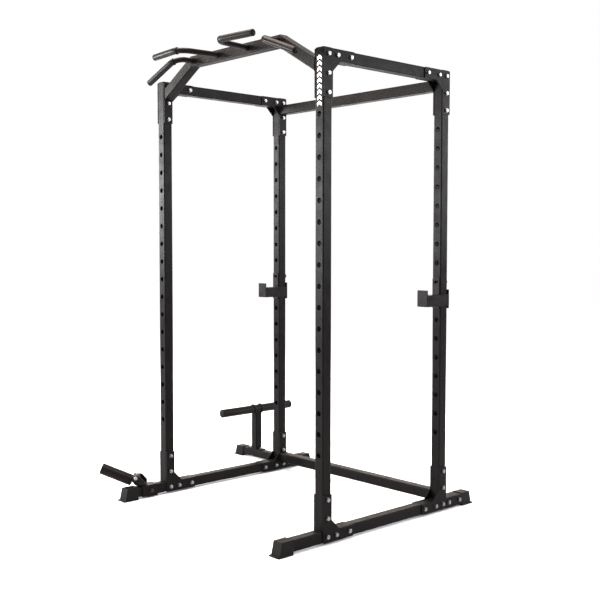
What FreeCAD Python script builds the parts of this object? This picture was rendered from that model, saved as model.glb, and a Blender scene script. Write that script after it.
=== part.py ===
"""Power cage: a bolted square-tube rack with a multi-grip pull-up beam, two hinged J-hooks,
a plate-storage post at the rear left and a landmine swivel on the front left foot.

Units are millimetres. The model is laid out about the centre of the four uprights, with +X to
the right, +Y to the rear and +Z up, and is moved as one at the end, so that the origin is the
centre of the footprint's bounding box, on the floor.
"""
import FreeCAD
import Part
import math
import os

from FreeCAD import Placement, Rotation, Vector

# ---------------------------------------------------------------- frame tubes
TUBE = 50.0                 # outside width of every square frame tube
WALL = 3.0                  # tube wall
CORNER = 5.0                # outside corner radius of the tubes
FRAME_WIDTH = 1165.0        # left to right, between upright centres
FRAME_DEPTH = 770.0         # front to rear, between upright centres
FRAME_TOP = 2097.0          # top of the steel uprights and side beams, above the floor
FOOT_LIFT = 10.0            # foot tubes ride this far above the floor, in their caps
FOOT_FRONT = 228.0          # foot tube beyond the front face of the front uprights
FOOT_REAR = 181.0           # foot tube beyond the rear face of the rear uprights

# ---------------------------------------------------------------- rack holes
HOLE_D = 24.0               # rack holes, through the front and rear faces
HOLE_PITCH = 90.0
FIRST_HOLE_Z = 384.0        # lowest rack hole
HOLE_TO_PLATE = 60.0        # least distance from the top rack hole to the top plates
HOOK_HOLE = 8               # rack hole that carries the J-hooks, counted up from zero

# ---------------------------------------------------------------- corner plates and bolts
PLATE = 5.0                 # thickness of the corner plates
PLATE_EDGE = 20.0           # from the last bolt centre to the plate's end
PLATE_CHAMFER = 45.0        # across the inside corner of each L
PLATE_ROUND = 4.0           # outside corner radius of the plates
BOLT_D = 10.0
BOLT_FIT = 0.5              # radial clearance of a bolt in tubes, plates and washers
BOLT_STEP = TUBE + 30.0     # leaves room for a tube and two washers between two bolts
BEAM_BOLT = TUBE / 2 + 27.0     # upright centre to the first bolt in the beam or foot
TAIL_BOLT = TUBE / 2 + 20.0     # upright centre to the first bolt behind the rear upright
HEX = 17.0                  # across the flats of heads and nuts
HEAD_H = 6.4
NUT_H = 8.4
WASHER_D = 20.0
WASHER_T = 2.0
THREAD_OUT = 3.0            # bolt end beyond its nut
THREAD_FIT = 0.05           # radial clearance of a bolt in its nut

# ---------------------------------------------------------------- plastic caps
CAP_FLANGE = 3.0            # lid on top of an upright
CAP_PLUG = 15.0             # depth of the plug below the lid
CAP_FIT = 0.2               # plug to tube wall, each side
FOOT_CAP_FLOOR = 6.0        # thickness of the foot cap's spread flange
FOOT_CAP_FRONT = 26.0       # flange beyond the end of the tube
FOOT_CAP_BACK = 60.0        # cap body over the tube
FOOT_CAP_SPREAD = 8.0       # flange beyond the tube, each side
FOOT_CAP_WALL = 3.0         # cap wall beside and above the tube
FOOT_CAP_RAKE = 12.0        # the cap's end leans back by this from flange to top
FOOT_CAP_HEEL = 3.0         # the flange stops short of the cap's back by this
FOOT_CAP_CORNER = 4.0       # corner radius of the cap's socket

# ---------------------------------------------------------------- pull-up beam and grips
BEAM_RISE = 70.0            # centre of the beam's raised middle above the side beams' top
LEG_CLEAR = 3.0             # underside of each leg above the washer below it
LEG_ANGLE = 30.0            # slope of the legs
GRIP_TUBE_D = 25.4
GRIP_TUBE_WALL = 2.5
SLEEVE_WALL = 2.0
SLEEVE_FIT = 0.3            # radial gap between sleeve and tube
SLEEVE_START = 0.7          # the sleeve starts this far round the bend
GRIP_CAP = 10.0             # depth of the domed end caps
OUTER_ROOT_IN = 12.0        # outer grips leave the beam this far inboard of its bends
OUTER_REACH = 95.0          # how far their bars stand in front of the beam
OUTER_RUN = 225.0           # their bars end this far outboard of the arm
OUTER_DROP = 88.0           # the outer bars slope down to this far below the beam's centre
OUTER_BEND = 55.0
INNER_ROOT_X = 108.0        # inner grips: the same
INNER_REACH = 202.0
INNER_SPLAY = 24.0          # the arm leans outwards by this
INNER_RUN = 254.0
INNER_SWEEP = 24.0          # the bar comes back towards the beam by this
INNER_BEND = 60.0

# ---------------------------------------------------------------- J-hooks
HOOK_PLATE = 6.0
HOOK_GAP = 0.5              # between the hook and the upright's faces
PIN_FIT = 0.08              # radial clearance of the hook pin in its rack hole
PIN_OUT = 18.0              # pin end behind the upright
BACK_W = 40.0               # back plate, against the upright's front
BACK_ABOVE = 19.0           # back plate above the pin
BACK_BELOW = 126.0          # back plate and rear flange below the pin
SADDLE_BELOW = 60.0         # bar rest below the pin
CUP = 92.5                  # front to rear inside the cup
LIP_ABOVE = 23.0            # lip above the bar rest
SIDE_BELOW = 55.0           # side plate below the bar rest
CUP_W = 60.5                # width of lip and bar rest
REAR_W = 30.0               # rear flange, behind the upright
REAR_ABOVE = 24.0           # rear flange above the bar rest

# ---------------------------------------------------------------- plate storage
POST_TUBE = 45.0
POST_X = 277.5              # post centre outboard of the left plate's outer face
POST_TIP = 159.0            # base tube beyond the post's centre
POST_BOLT_GAP = 17.5        # post's side to its base plate bolts, and on to the plate's end
PEG_Z = 298.0               # centre height of the peg bar
PEG_D = 48.3
PEG_WALL = 3.2
PEG_REACH = 258.0           # bar end from the post's centre
PEG_CAP = 8.0               # thickness of the peg caps
PEG_FIT = 0.3               # radial gap where post and collars meet the bar
COLLAR_RIM = 5.85           # collar beyond the peg bar, all round
COLLAR_T = 8.0

# ---------------------------------------------------------------- landmine
SWIVEL_FROM_TIP = 103.0     # swivel axis behind the tip of the left foot tube
SADDLE_PLATE = 5.0          # collar around the foot tube
SADDLE_BOSS = 4.0           # raised ring under the yoke
SADDLE_FRONT = 20.0         # collar in front of the swivel axis
SADDLE_BACK = 70.0          # collar behind it
STRAP_L = 50.0              # strap under the foot tube, at the collar's rear
SADDLE_BOLT = 32.0          # through-bolt behind the swivel axis
SWIVEL_D = 16.0
YOKE_SIDE = 0.5             # cheeks clear the sides of the sleeve by this
YOKE_PLATE = 5.0
YOKE_BACK = 16.0            # yoke behind the swivel axis
CHEEK_H = 46.0
CHEEK_SLANT = 27.6          # cut off the cheeks' rear top corner
CHEEK_NOSE = 24.0           # cheeks in front of the tilt bolt
YOKE_GAP = 0.3              # yoke above its boss, and tilt barrel inside the cheeks
RUN_FIT = 0.05              # radial running clearance of swivel and tilt bolts
TILT_S = 28.0               # tilt bolt in front of the swivel axis
TILT_H = 35.0               # tilt bolt above the yoke's floor
BARREL_D = 28.0
REST_TILT = 21.0            # slope of the sleeve on its stop
REST_YAW = 45.0             # the sleeve points this far outboard of straight ahead
SOCKET_BORE = 52.0
SOCKET_WALL = 2.5
SOCKET_L = 168.0
SOCKET_FLOOR = 10.0         # thickness of the sleeve's closed end
SOCKET_BACK = 15.5          # sleeve's closed end beyond the tilt bolt, along the sleeve
SOCKET_DROP = 26.6          # sleeve axis below the tilt bolt, square to the sleeve
SOCKET_LIFT = 4.0           # the closed end is cut away to clear the foot tube by this

# ---------------------------------------------------------------- worked out from the above
HALF_W = FRAME_WIDTH / 2
HALF_D = FRAME_DEPTH / 2
HALF_T = TUBE / 2
BOLT_HOLE = BOLT_D + 2 * BOLT_FIT
FOOT_TOP = FOOT_LIFT + TUBE
FOOT_Z = FOOT_LIFT + HALF_T
BEAM_CENTRE = FRAME_TOP - HALF_T
BASE_BOLTS = [FOOT_Z + i * BOLT_STEP for i in range(3)]
TOP_BOLTS = [BEAM_CENTRE - i * BOLT_STEP for i in range(3)]
BEAM_BOLTS = [BEAM_BOLT, BEAM_BOLT + BOLT_STEP]
TAIL_BOLTS = [TAIL_BOLT, TAIL_BOLT + BOLT_STEP]
TOP_PLATE_END = TOP_BOLTS[-1] - PLATE_EDGE
HOLE_COUNT = int((TOP_PLATE_END - HOLE_TO_PLATE - FIRST_HOLE_Z) // HOLE_PITCH) + 1
PIN_Z = FIRST_HOLE_Z + min(HOOK_HOLE, HOLE_COUNT - 1) * HOLE_PITCH
FOOT_Y0 = -HALF_D - HALF_T - FOOT_FRONT
FOOT_Y1 = HALF_D + HALF_T + FOOT_REAR
PLATE_X = HALF_W + HALF_T + PLATE       # outer face of the outer plates
INNER_X = HALF_W - HALF_T - PLATE       # inner face of the inner plates
POST_CENTRE = Vector(-PLATE_X - POST_X, HALF_D + (TAIL_BOLTS[0] + TAIL_BOLTS[1]) / 2, 0)
POST_TOP = FOOT_LIFT + POST_TUBE + PLATE
POST_BOLT_X = POST_TUBE / 2 + POST_BOLT_GAP
POST_BASE_L = 2 * (POST_BOLT_X + POST_BOLT_GAP)
COLLAR_D = PEG_D + 2 * COLLAR_RIM
SLOPE = math.radians(LEG_ANGLE)
BEAM_Z = FRAME_TOP + BEAM_RISE
LEG_Z = TOP_BOLTS[1] + WASHER_D / 2 + LEG_CLEAR + HALF_T / math.cos(SLOPE)
BEND_X = INNER_X - (BEAM_Z - LEG_Z) / math.tan(SLOPE)
OUTER_ROOT_X = BEND_X - OUTER_ROOT_IN
SLEEVE_D = GRIP_TUBE_D + 2 * (SLEEVE_FIT + SLEEVE_WALL)
SWIVEL = Vector(-HALF_W, FOOT_Y0 + SWIVEL_FROM_TIP, 0)
YOKE_Z = FOOT_TOP + SADDLE_PLATE + SADDLE_BOSS + YOKE_GAP
SOCKET_D = SOCKET_BORE + 2 * SOCKET_WALL
YOKE_W = SOCKET_D + 2 * (YOKE_SIDE + YOKE_PLATE)

LEFT, RIGHT = -1, 1
FRONT, REAR = -1, 1
SIDES = {"left": LEFT, "right": RIGHT}
ENDS = {"front": FRONT, "rear": REAR}
X, Y, Z = Vector(1, 0, 0), Vector(0, 1, 0), Vector(0, 0, 1)


# ---------------------------------------------------------------- building blocks
def box(x0, x1, y0, y1, z0, z1):
    """Box between two corners, given as low and high on each axis."""
    return Part.makeBox(x1 - x0, y1 - y0, z1 - z0, Vector(x0, y0, z0))


def rounded_face(width, height, radius):
    """Rectangle with round corners, centred on the origin in the XY plane."""
    across, up = width / 2 - radius, height / 2 - radius
    middles = (Vector(across, up), Vector(-across, up), Vector(-across, -up), Vector(across, -up))
    arcs = [Part.makeCircle(radius, middle, Z, 90 * i, 90 * i + 90)
            for i, middle in enumerate(middles)]
    edges = []
    for i, arc in enumerate(arcs):
        following = arcs[(i + 1) % len(arcs)]
        edges += [arc, Part.makeLine(arc.lastVertex().Point, following.firstVertex().Point)]
    return Part.Face(Part.Wire(edges))


def bar(start, end, width, radius):
    """Solid square bar with round corners from start to end."""
    along = end - start
    solid = rounded_face(width, width, radius).extrude(Vector(0, 0, along.Length))
    turn = Rotation(Z, along)
    if abs(along.x) > 1e-6 and abs(along.y) < 1e-6:
        # keeps the sides of a bar that leans in the XZ plane parallel to Y
        turn = Rotation(Y, math.degrees(math.atan2(along.x, along.z)))
    solid.Placement = Placement(start, turn)
    return solid


def tube(start, end, width=TUBE, wall=WALL, radius=CORNER):
    """Square tube with round corners from start to end."""
    reach = (end - start).normalize() * 1.0
    core = bar(start - reach, end + reach, width - 2 * wall, max(radius - wall, 0.5))
    return bar(start, end, width, radius).cut(core)


def rod(start, end, diameter):
    """Round rod from start to end."""
    along = end - start
    return Part.makeCylinder(diameter / 2, along.Length, start, along)


def drill(solid, points, axis, diameter, depth):
    """Cut a hole of this diameter at each point, depth to each side of it along the axis."""
    for point in points:
        solid = solid.cut(rod(point - axis * depth, point + axis * depth, diameter))
    return solid


def half_space(point, normal, reach=3000.0):
    """Block that fills the side of a plane that its normal points to."""
    block = Part.makeBox(reach, reach, reach, Vector(-reach / 2, -reach / 2, 0))
    block.Placement = Placement(point, Rotation(Z, normal))
    return block


def hexagon(point, axis, thickness):
    """Hexagonal prism that stands on a point along an axis."""
    corner = HEX / math.sqrt(3)
    ring = [Vector(corner * math.cos(math.radians(60 * i)), corner * math.sin(math.radians(60 * i)))
            for i in range(7)]
    prism = Part.Face(Part.makePolygon(ring)).extrude(Vector(0, 0, thickness))
    prism.Placement = Placement(point, Rotation(Z, axis))
    return prism


def outline_plate(points, x, thickness):
    """Plate in the YZ plane from x to x + thickness, with its convex corners rounded."""
    ring = [Vector(x, y, z) for y, z in points]
    plate = Part.Face(Part.makePolygon(ring + ring[:1])).extrude(Vector(thickness, 0, 0))
    box_of_plate = plate.BoundBox
    convex = []
    for edge in plate.Edges:
        first, last = edge.Vertexes[0].Point, edge.Vertexes[-1].Point
        lies_along_x = abs(first.x - last.x) > thickness / 2
        at_y_end = min(abs(first.y - box_of_plate.YMin), abs(first.y - box_of_plate.YMax)) < 1e-6
        at_z_end = min(abs(first.z - box_of_plate.ZMin), abs(first.z - box_of_plate.ZMax)) < 1e-6
        if lies_along_x and at_y_end and at_z_end:
            convex.append(edge)
    return plate.makeFillet(PLATE_ROUND, convex)


# ---------------------------------------------------------------- frame tubes
def upright(side, end):
    """Upright with its rack holes and the holes for its corner bolts."""
    x, y = side * HALF_W, end * HALF_D
    solid = tube(Vector(x, y, FOOT_TOP), Vector(x, y, FRAME_TOP))
    rack = [Vector(x, y, FIRST_HOLE_Z + i * HOLE_PITCH) for i in range(HOLE_COUNT)]
    solid = drill(solid, rack, Y, HOLE_D, TUBE)
    corners = [Vector(x, y, z) for z in BASE_BOLTS[1:] + TOP_BOLTS]
    return drill(solid, corners, X, BOLT_HOLE, TUBE)


def beam_bolt_ys():
    """Y of the bolts that hold a top beam or a foot tube, in front of and behind its middle."""
    reach = [HALF_D - offset for offset in BEAM_BOLTS]
    return reach + [-y for y in reach]


def top_beam(side):
    """Side beam between the tops of a front and a rear upright."""
    x, reach = side * HALF_W, HALF_D - HALF_T
    solid = tube(Vector(x, -reach, BEAM_CENTRE), Vector(x, reach, BEAM_CENTRE))
    return drill(solid, [Vector(x, y, BEAM_CENTRE) for y in beam_bolt_ys()], X, BOLT_HOLE, TUBE)


def foot_bolt_ys(side):
    """Y of every bolt through a foot tube."""
    ys = beam_bolt_ys() + [-HALF_D, HALF_D] + [HALF_D + offset for offset in TAIL_BOLTS]
    if side == LEFT:
        ys.append(SWIVEL.y + SADDLE_BOLT)
    return ys


def foot_tube(side):
    """Long foot tube that two uprights stand on."""
    x = side * HALF_W
    solid = tube(Vector(x, FOOT_Y0, FOOT_Z), Vector(x, FOOT_Y1, FOOT_Z))
    return drill(solid, [Vector(x, y, FOOT_Z) for y in foot_bolt_ys(side)], X, BOLT_HOLE, TUBE)


def crossmember(z):
    """Rear crossmember between the two inner corner plates."""
    return tube(Vector(-INNER_X, HALF_D, z), Vector(INNER_X, HALF_D, z))


# ---------------------------------------------------------------- corner plates
def corner_plate(side, end, level, inner):
    """L-shaped plate that joins an upright to its beam or to its foot tube."""
    plate_x = side * INNER_X if inner else side * (PLATE_X - PLATE)
    x = min(plate_x, plate_x + side * PLATE)
    near, far = HALF_T, BEAM_BOLTS[-1] + PLATE_EDGE + 2.0
    tail = TAIL_BOLTS[-1] + PLATE_EDGE if (level, end) == ("base", REAR) else HALF_T
    if level == "top":
        edge, inside, tip = FRAME_TOP, FRAME_TOP - TUBE, TOP_PLATE_END
    else:
        edge, inside, tip = FOOT_LIFT, FOOT_TOP, BASE_BOLTS[-1] + PLATE_EDGE
    notch = inside + math.copysign(PLATE_CHAMFER, tip - inside)
    ring = [(tail, edge), (-far, edge), (-far, inside), (-near - PLATE_CHAMFER, inside),
            (-near, notch), (-near, tip), (near, tip)]
    if tail > near:
        ring += [(near, inside), (tail, inside)]
    plate = outline_plate([(end * (HALF_D + y), z) for y, z in ring], x, PLATE)
    beam_z = BEAM_CENTRE if level == "top" else FOOT_Z
    upright_zs = TOP_BOLTS if level == "top" else BASE_BOLTS
    holes = [(HALF_D, z) for z in upright_zs] + [(HALF_D - offset, beam_z) for offset in BEAM_BOLTS]
    if tail > near:
        holes += [(HALF_D + offset, beam_z) for offset in TAIL_BOLTS]
    return drill(plate, [Vector(x, end * y, z) for y, z in holes], X, BOLT_HOLE, TUBE)


def joint_bolts():
    """Every through-bolt of the frame: its middle, its outward side and whether it has a nut.

    The bolt above each pull-up leg screws into its inner plate, where a nut has no room.
    """
    bolts = []
    for side in SIDES.values():
        x = side * HALF_W
        for end in ENDS.values():
            bolts += [(Vector(x, end * HALF_D, z), side, (end, z) != (FRONT, BEAM_CENTRE))
                      for z in TOP_BOLTS + BASE_BOLTS[1:]]
        bolts += [(Vector(x, y, BEAM_CENTRE), side, True) for y in beam_bolt_ys()]
        bolts += [(Vector(x, y, FOOT_Z), side, True) for y in foot_bolt_ys(side)]
    return bolts


def bolt(head, axis, grip):
    """Hex bolt: axis points out of the head, grip is from under the head to the bolt's end."""
    return hexagon(head, axis, HEAD_H).fuse(rod(head, head - axis * grip, BOLT_D)).removeSplitter()


def washer(point, axis):
    """Washer that lies on a point, its thickness along the axis."""
    disc = rod(point, point + axis * WASHER_T, WASHER_D)
    return disc.cut(rod(point - axis, point + axis * (WASHER_T + 1), BOLT_HOLE))


def nut(point, axis):
    """Hex nut that stands on a point, its thickness along the axis."""
    bore = rod(point - axis, point + axis * (NUT_H + 1), BOLT_D + 2 * THREAD_FIT)
    return hexagon(point, axis, NUT_H).cut(bore)


def frame_fasteners():
    """Bolts, washers and nuts of the frame's joints and of the plate post."""
    bolts, washers, nuts = [], [], []
    half_grip = HALF_T + PLATE
    for middle, side, has_nut in joint_bolts():
        out = X * side
        seat = middle + out * half_grip
        washers.append(washer(seat, out))
        grip = WASHER_T + 2 * half_grip
        if has_nut:
            washers.append(washer(middle - out * half_grip, -out))
            nuts.append(nut(middle - out * (half_grip + WASHER_T), -out))
            grip += WASHER_T + NUT_H + THREAD_OUT
        bolts.append(bolt(seat + out * WASHER_T, out, grip))
    return bolts, washers, nuts


# ---------------------------------------------------------------- caps
def upright_cap(side, end):
    """Plastic plug in the top of an upright."""
    lid = rounded_face(TUBE, TUBE, CORNER).extrude(Vector(0, 0, CAP_FLANGE))
    rim = [edge for edge in lid.Edges if edge.BoundBox.ZMin > CAP_FLANGE - 1e-6]
    lid = lid.makeFillet(CAP_FLANGE / 2, rim)
    plug_width = TUBE - 2 * WALL - 2 * CAP_FIT
    plug = rounded_face(plug_width, plug_width, CORNER - WALL).extrude(Vector(0, 0, -CAP_PLUG))
    cap = lid.fuse(plug).removeSplitter()
    cap.translate(Vector(side * HALF_W, end * HALF_D, FRAME_TOP))
    return cap


def foot_cap(tube_end, heading, width):
    """Plastic foot over the end of a floor tube, which it carries clear of the floor.

    It is built on a tube that ends at the origin and runs back along -X, then turned so that
    the tube's outward end faces the heading, in degrees about +Z.
    """
    spread, top = width / 2 + FOOT_CAP_SPREAD, FOOT_LIFT + width + FOOT_CAP_WALL
    flange = box(FOOT_CAP_HEEL - FOOT_CAP_BACK, FOOT_CAP_FRONT, -spread, spread, 0, FOOT_CAP_FLOOR)
    flange = flange.makeFillet(PLATE_ROUND, [e for e in flange.Edges if e.BoundBox.ZLength > 1])

    def ring(front, side, z):
        points = [Vector(-FOOT_CAP_BACK, -side, z), Vector(front, -side, z),
                  Vector(front, side, z), Vector(-FOOT_CAP_BACK, side, z)]
        return Part.makePolygon(points + points[:1])

    foot = ring(FOOT_CAP_WALL + FOOT_CAP_RAKE, spread - FOOT_CAP_WALL, FOOT_CAP_FLOOR)
    body = Part.makeLoft([foot, ring(FOOT_CAP_WALL, width / 2 + FOOT_CAP_WALL, top)], True)
    socket = bar(Vector(-2 * FOOT_CAP_BACK, 0, FOOT_LIFT + width / 2),
                 Vector(0, 0, FOOT_LIFT + width / 2), width, FOOT_CAP_CORNER)
    cap = flange.fuse(body).cut(socket).removeSplitter()
    cap.Placement = Placement(tube_end, Rotation(Z, heading))
    return cap


# ---------------------------------------------------------------- pull-up beam and grips
def pull_up_beam():
    """Raised beam with a sloping leg to each front corner plate, mitred at the bends."""
    y = -HALF_D
    solid = tube(Vector(-INNER_X, y, BEAM_Z), Vector(INNER_X, y, BEAM_Z))
    legs = []
    for side in SIDES.values():
        bend = Vector(side * BEND_X, y, BEAM_Z)
        down = Vector(side * math.cos(SLOPE), 0, -math.sin(SLOPE))
        mitre = Vector(side * math.cos(SLOPE / 2), 0, -math.sin(SLOPE / 2))
        solid = solid.cut(half_space(bend, mitre))
        leg = tube(bend - down * TUBE, bend + down * (INNER_X + TUBE))
        leg = leg.cut(half_space(bend, mitre * -1))
        legs.append(leg.cut(half_space(Vector(side * INNER_X, y, LEG_Z), X * side)))
    return solid.fuse(legs).removeSplitter()


class GripPath:
    """Centre line of a grip: a straight arm out of the beam, one bend, and a straight bar."""

    def __init__(self, root, corner, tip, radius):
        arm, run = (root - corner).normalize(), (tip - corner).normalize()
        half = arm.getAngle(run) / 2
        middle = (arm + run).normalize()
        self.root, self.tip = root, tip
        self.centre = corner + middle * (radius / math.sin(half))
        self.start = corner + arm * (radius / math.tan(half)) - self.centre
        self.axis = arm.cross(run).normalize() * -1
        self.sweep = 180.0 - math.degrees(2 * half)
        self.heading = run

    def on_bend(self, share):
        """Point this share of the way round the bend."""
        return self.centre + Rotation(self.axis, share * self.sweep).multVec(self.start)

    def wire(self, share):
        """Path from this share of the bend to the tip, or from the root if share is None."""
        first = share or 0.0
        arc = Part.Arc(self.on_bend(first), self.on_bend((first + 1) / 2), self.on_bend(1))
        edges = [arc.toShape(), Part.makeLine(self.on_bend(1), self.tip)]
        if share is None:
            edges.insert(0, Part.makeLine(self.root, self.on_bend(0)))
        return Part.Wire(edges)

    def sweep_round(self, share, diameter):
        """Solid round bar along the path."""
        wire = self.wire(share)
        edge = wire.Edges[0]
        begin = edge.valueAt(edge.FirstParameter)
        ring = Part.Wire(Part.makeCircle(diameter / 2, begin, edge.tangentAt(edge.FirstParameter)))
        return wire.makePipeShell([ring], True, False)


def grip_paths(side):
    """The outer and the inner grip's centre lines on one side."""
    face = -HALF_D - HALF_T
    outer = GripPath(Vector(side * OUTER_ROOT_X, face, BEAM_Z),
                     Vector(side * OUTER_ROOT_X, face - OUTER_REACH, BEAM_Z),
                     Vector(side * (OUTER_ROOT_X + OUTER_RUN), face - OUTER_REACH, BEAM_Z - OUTER_DROP),
                     OUTER_BEND)
    inner = GripPath(Vector(side * INNER_ROOT_X, face, BEAM_Z),
                     Vector(side * (INNER_ROOT_X + INNER_SPLAY), face - INNER_REACH, BEAM_Z),
                     Vector(side * (INNER_ROOT_X + INNER_RUN), face - INNER_REACH + INNER_SWEEP, BEAM_Z),
                     INNER_BEND)
    return {"outer": outer, "inner": inner}


def grip_tube(path):
    """Bent tube of a grip, cut flush with the beam's front face."""
    bore = path.sweep_round(None, GRIP_TUBE_D - 2 * GRIP_TUBE_WALL)
    solid = path.sweep_round(None, GRIP_TUBE_D).cut(bore)
    return solid.cut(half_space(Vector(0, -HALF_D - HALF_T, BEAM_Z), Y))


def grip_sleeve(path):
    """Rubber sleeve from the bend to the end of a grip."""
    core = path.sweep_round(SLEEVE_START, GRIP_TUBE_D + 2 * SLEEVE_FIT)
    return path.sweep_round(SLEEVE_START, SLEEVE_D).cut(core)


def grip_end_cap(path):
    """Domed cap on the end of a grip."""
    radius = SLEEVE_D / 2
    ball_radius = (radius ** 2 + GRIP_CAP ** 2) / (2 * GRIP_CAP)
    ball = Part.makeSphere(ball_radius, path.tip - path.heading * (ball_radius - GRIP_CAP))
    return ball.common(rod(path.tip, path.tip + path.heading * SLEEVE_D, SLEEVE_D + 1))


# ---------------------------------------------------------------- J-hooks
def hook_bracket(side):
    """Welded plate hook: its side plate and rear flange wrap the upright's +X side."""
    x, front, rear = side * HALF_W, HALF_D - HALF_T - HOOK_GAP, HALF_D + HALF_T + HOOK_GAP
    rest, low = PIN_Z - SADDLE_BELOW, PIN_Z - BACK_BELOW
    side_in = x + HALF_T + HOOK_GAP
    side_out = side_in + HOOK_PLATE
    lip_y = front - HOOK_PLATE - CUP
    side_low = rest - SIDE_BELOW
    back = box(x - BACK_W / 2, x + BACK_W / 2, front - HOOK_PLATE, front, low, PIN_Z + BACK_ABOVE)
    plates = [
        box(side_out - CUP_W, side_out, lip_y - HOOK_PLATE, front - HOOK_PLATE,
            rest - HOOK_PLATE, rest),
        box(side_out - CUP_W, side_out, lip_y - HOOK_PLATE, lip_y, side_low, rest + LIP_ABOVE),
        box(side_in, side_out, lip_y - HOOK_PLATE, rear + HOOK_PLATE, side_low, rest),
        box(side_out - REAR_W, side_out, rear, rear + HOOK_PLATE, low, rest + REAR_ABOVE),
    ]
    bracket = back.fuse(plates).removeSplitter()
    return drill(bracket, [Vector(x, front, PIN_Z)], Y, HOLE_D, HOOK_PLATE + 1)


def hook_pin(side):
    """Round pin through the back plate and the upright's rack hole."""
    x = side * HALF_W
    start = Vector(x, HALF_D - HALF_T - HOOK_GAP - HOOK_PLATE, PIN_Z)
    pin = rod(start, Vector(x, HALF_D + HALF_T + PIN_OUT, PIN_Z), HOLE_D - 2 * PIN_FIT)
    nose = [edge for edge in pin.Edges if edge.BoundBox.YMin > HALF_D + HALF_T]
    return pin.makeChamfer(2.0, nose)


# ---------------------------------------------------------------- plate storage
def post_base():
    """Base tube from the rear left outer plate to its own foot."""
    z = FOOT_LIFT + POST_TUBE / 2
    start = Vector(POST_CENTRE.x - POST_TIP, POST_CENTRE.y, z)
    solid = tube(start, Vector(-PLATE_X, POST_CENTRE.y, z), POST_TUBE)
    return drill(solid, post_bolt_points(), Z, BOLT_HOLE, POST_TUBE * 2)


def post_bolt_points():
    """Where the post's two bolts stand, at floor level."""
    return [POST_CENTRE + X * (sign * POST_BOLT_X) for sign in (LEFT, RIGHT)]


def plate_post():
    """Post on its base plate, coped to the underside of the peg bar."""
    half, x, y = POST_TUBE / 2, POST_CENTRE.x, POST_CENTRE.y
    foot = box(x - POST_BASE_L / 2, x + POST_BASE_L / 2, y - half, y + half,
               POST_TOP - PLATE, POST_TOP)
    foot = drill(foot, post_bolt_points(), Z, BOLT_HOLE, POST_TUBE * 2)
    post = tube(Vector(x, y, POST_TOP), Vector(x, y, PEG_Z), POST_TUBE)
    solid = foot.fuse(post).removeSplitter()
    reach = Y * POST_TUBE
    centre = Vector(x, y, PEG_Z)
    return solid.cut(rod(centre - reach, centre + reach, PEG_D + 2 * PEG_FIT))


def peg_centre(offset):
    """Point on the peg bar's axis, offset along Y from the post."""
    return Vector(POST_CENTRE.x, POST_CENTRE.y + offset, PEG_Z)


def peg_bar():
    """Round bar that carries the weight plates in front of and behind the post."""
    outside = rod(peg_centre(-PEG_REACH), peg_centre(PEG_REACH), PEG_D)
    bore = rod(peg_centre(-PEG_REACH - 1), peg_centre(PEG_REACH + 1), PEG_D - 2 * PEG_WALL)
    return outside.cut(bore)


def peg_collar(sign):
    """Stop ring beside the post."""
    inside = sign * POST_TUBE / 2
    outside = inside + sign * COLLAR_T
    bore = rod(peg_centre(inside - sign), peg_centre(outside + sign), PEG_D + 2 * PEG_FIT)
    return rod(peg_centre(inside), peg_centre(outside), COLLAR_D).cut(bore)


def peg_cap(sign):
    """Rounded plastic cap in the end of the peg bar."""
    end = sign * PEG_REACH
    lid = rod(peg_centre(end), peg_centre(end + sign * PEG_CAP), PEG_D)
    rim = [edge for edge in lid.Edges
           if abs(edge.BoundBox.Center.y - peg_centre(end + sign * PEG_CAP).y) < 1e-3
           and edge.BoundBox.XLength > 1]
    lid = lid.makeFillet(PEG_CAP * 0.7, rim)
    plug_d = PEG_D - 2 * PEG_WALL - 2 * CAP_FIT
    return lid.fuse(rod(peg_centre(end), peg_centre(end - sign * CAP_PLUG), plug_d)).removeSplitter()


def post_fasteners():
    """Bolts of the post's base plate, with their washers and nuts."""
    bolts, washers, nuts = [], [], []
    nut_z = FOOT_LIFT + WALL
    for point in post_bolt_points():
        seat = point + Z * POST_TOP
        washers.append(washer(seat, Z))
        nuts.append(nut(point + Z * nut_z, Z))
        bolts.append(bolt(seat + Z * WASHER_T, Z, POST_TOP + WASHER_T - nut_z))
    return bolts, washers, nuts


# ---------------------------------------------------------------- landmine
def landmine_saddle():
    """Collar around the left foot tube, with a strap under it and a boss on top."""
    x, y = SWIVEL.x, SWIVEL.y
    half, plate = HALF_T, SADDLE_PLATE
    front, back = y - SADDLE_FRONT, y + SADDLE_BACK
    wrap = box(x - half - plate, x + half + plate, front, back, FOOT_LIFT, FOOT_TOP + plate)
    wrap = wrap.cut(box(x - half, x + half, front - 1, back + 1, FOOT_LIFT - 1, FOOT_TOP))
    strap = box(x - half - plate, x + half + plate, back - STRAP_L, back,
                FOOT_LIFT - plate, FOOT_LIFT)
    boss = rod(Vector(x, y, FOOT_TOP + plate), Vector(x, y, FOOT_TOP + plate + SADDLE_BOSS),
               SWIVEL_D * 2)
    collar = wrap.fuse([strap, boss]).removeSplitter()
    collar = drill(collar, [Vector(x, y, FOOT_TOP + plate)], Z, SWIVEL_D + 2 * THREAD_FIT, HALF_T)
    return drill(collar, [Vector(x, y + SADDLE_BOLT, FOOT_Z)], X, BOLT_HOLE, TUBE)


def swivel_frame(solid):
    """Turn a solid that was built pointing along -Y over the swivel axis to its rest heading."""
    solid.Placement = Placement(SWIVEL, Rotation(Z, -REST_YAW)).multiply(solid.Placement)
    return solid


def swivel_bolt():
    """Bolt that the yoke turns on. It screws into the collar's boss."""
    head = Vector(0, 0, YOKE_Z + YOKE_PLATE + YOKE_GAP)
    solid = hexagon(head, Z, HEAD_H)
    shank = rod(head, Vector(0, 0, FOOT_TOP), SWIVEL_D)
    return swivel_frame(solid.fuse(shank).removeSplitter())


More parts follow.
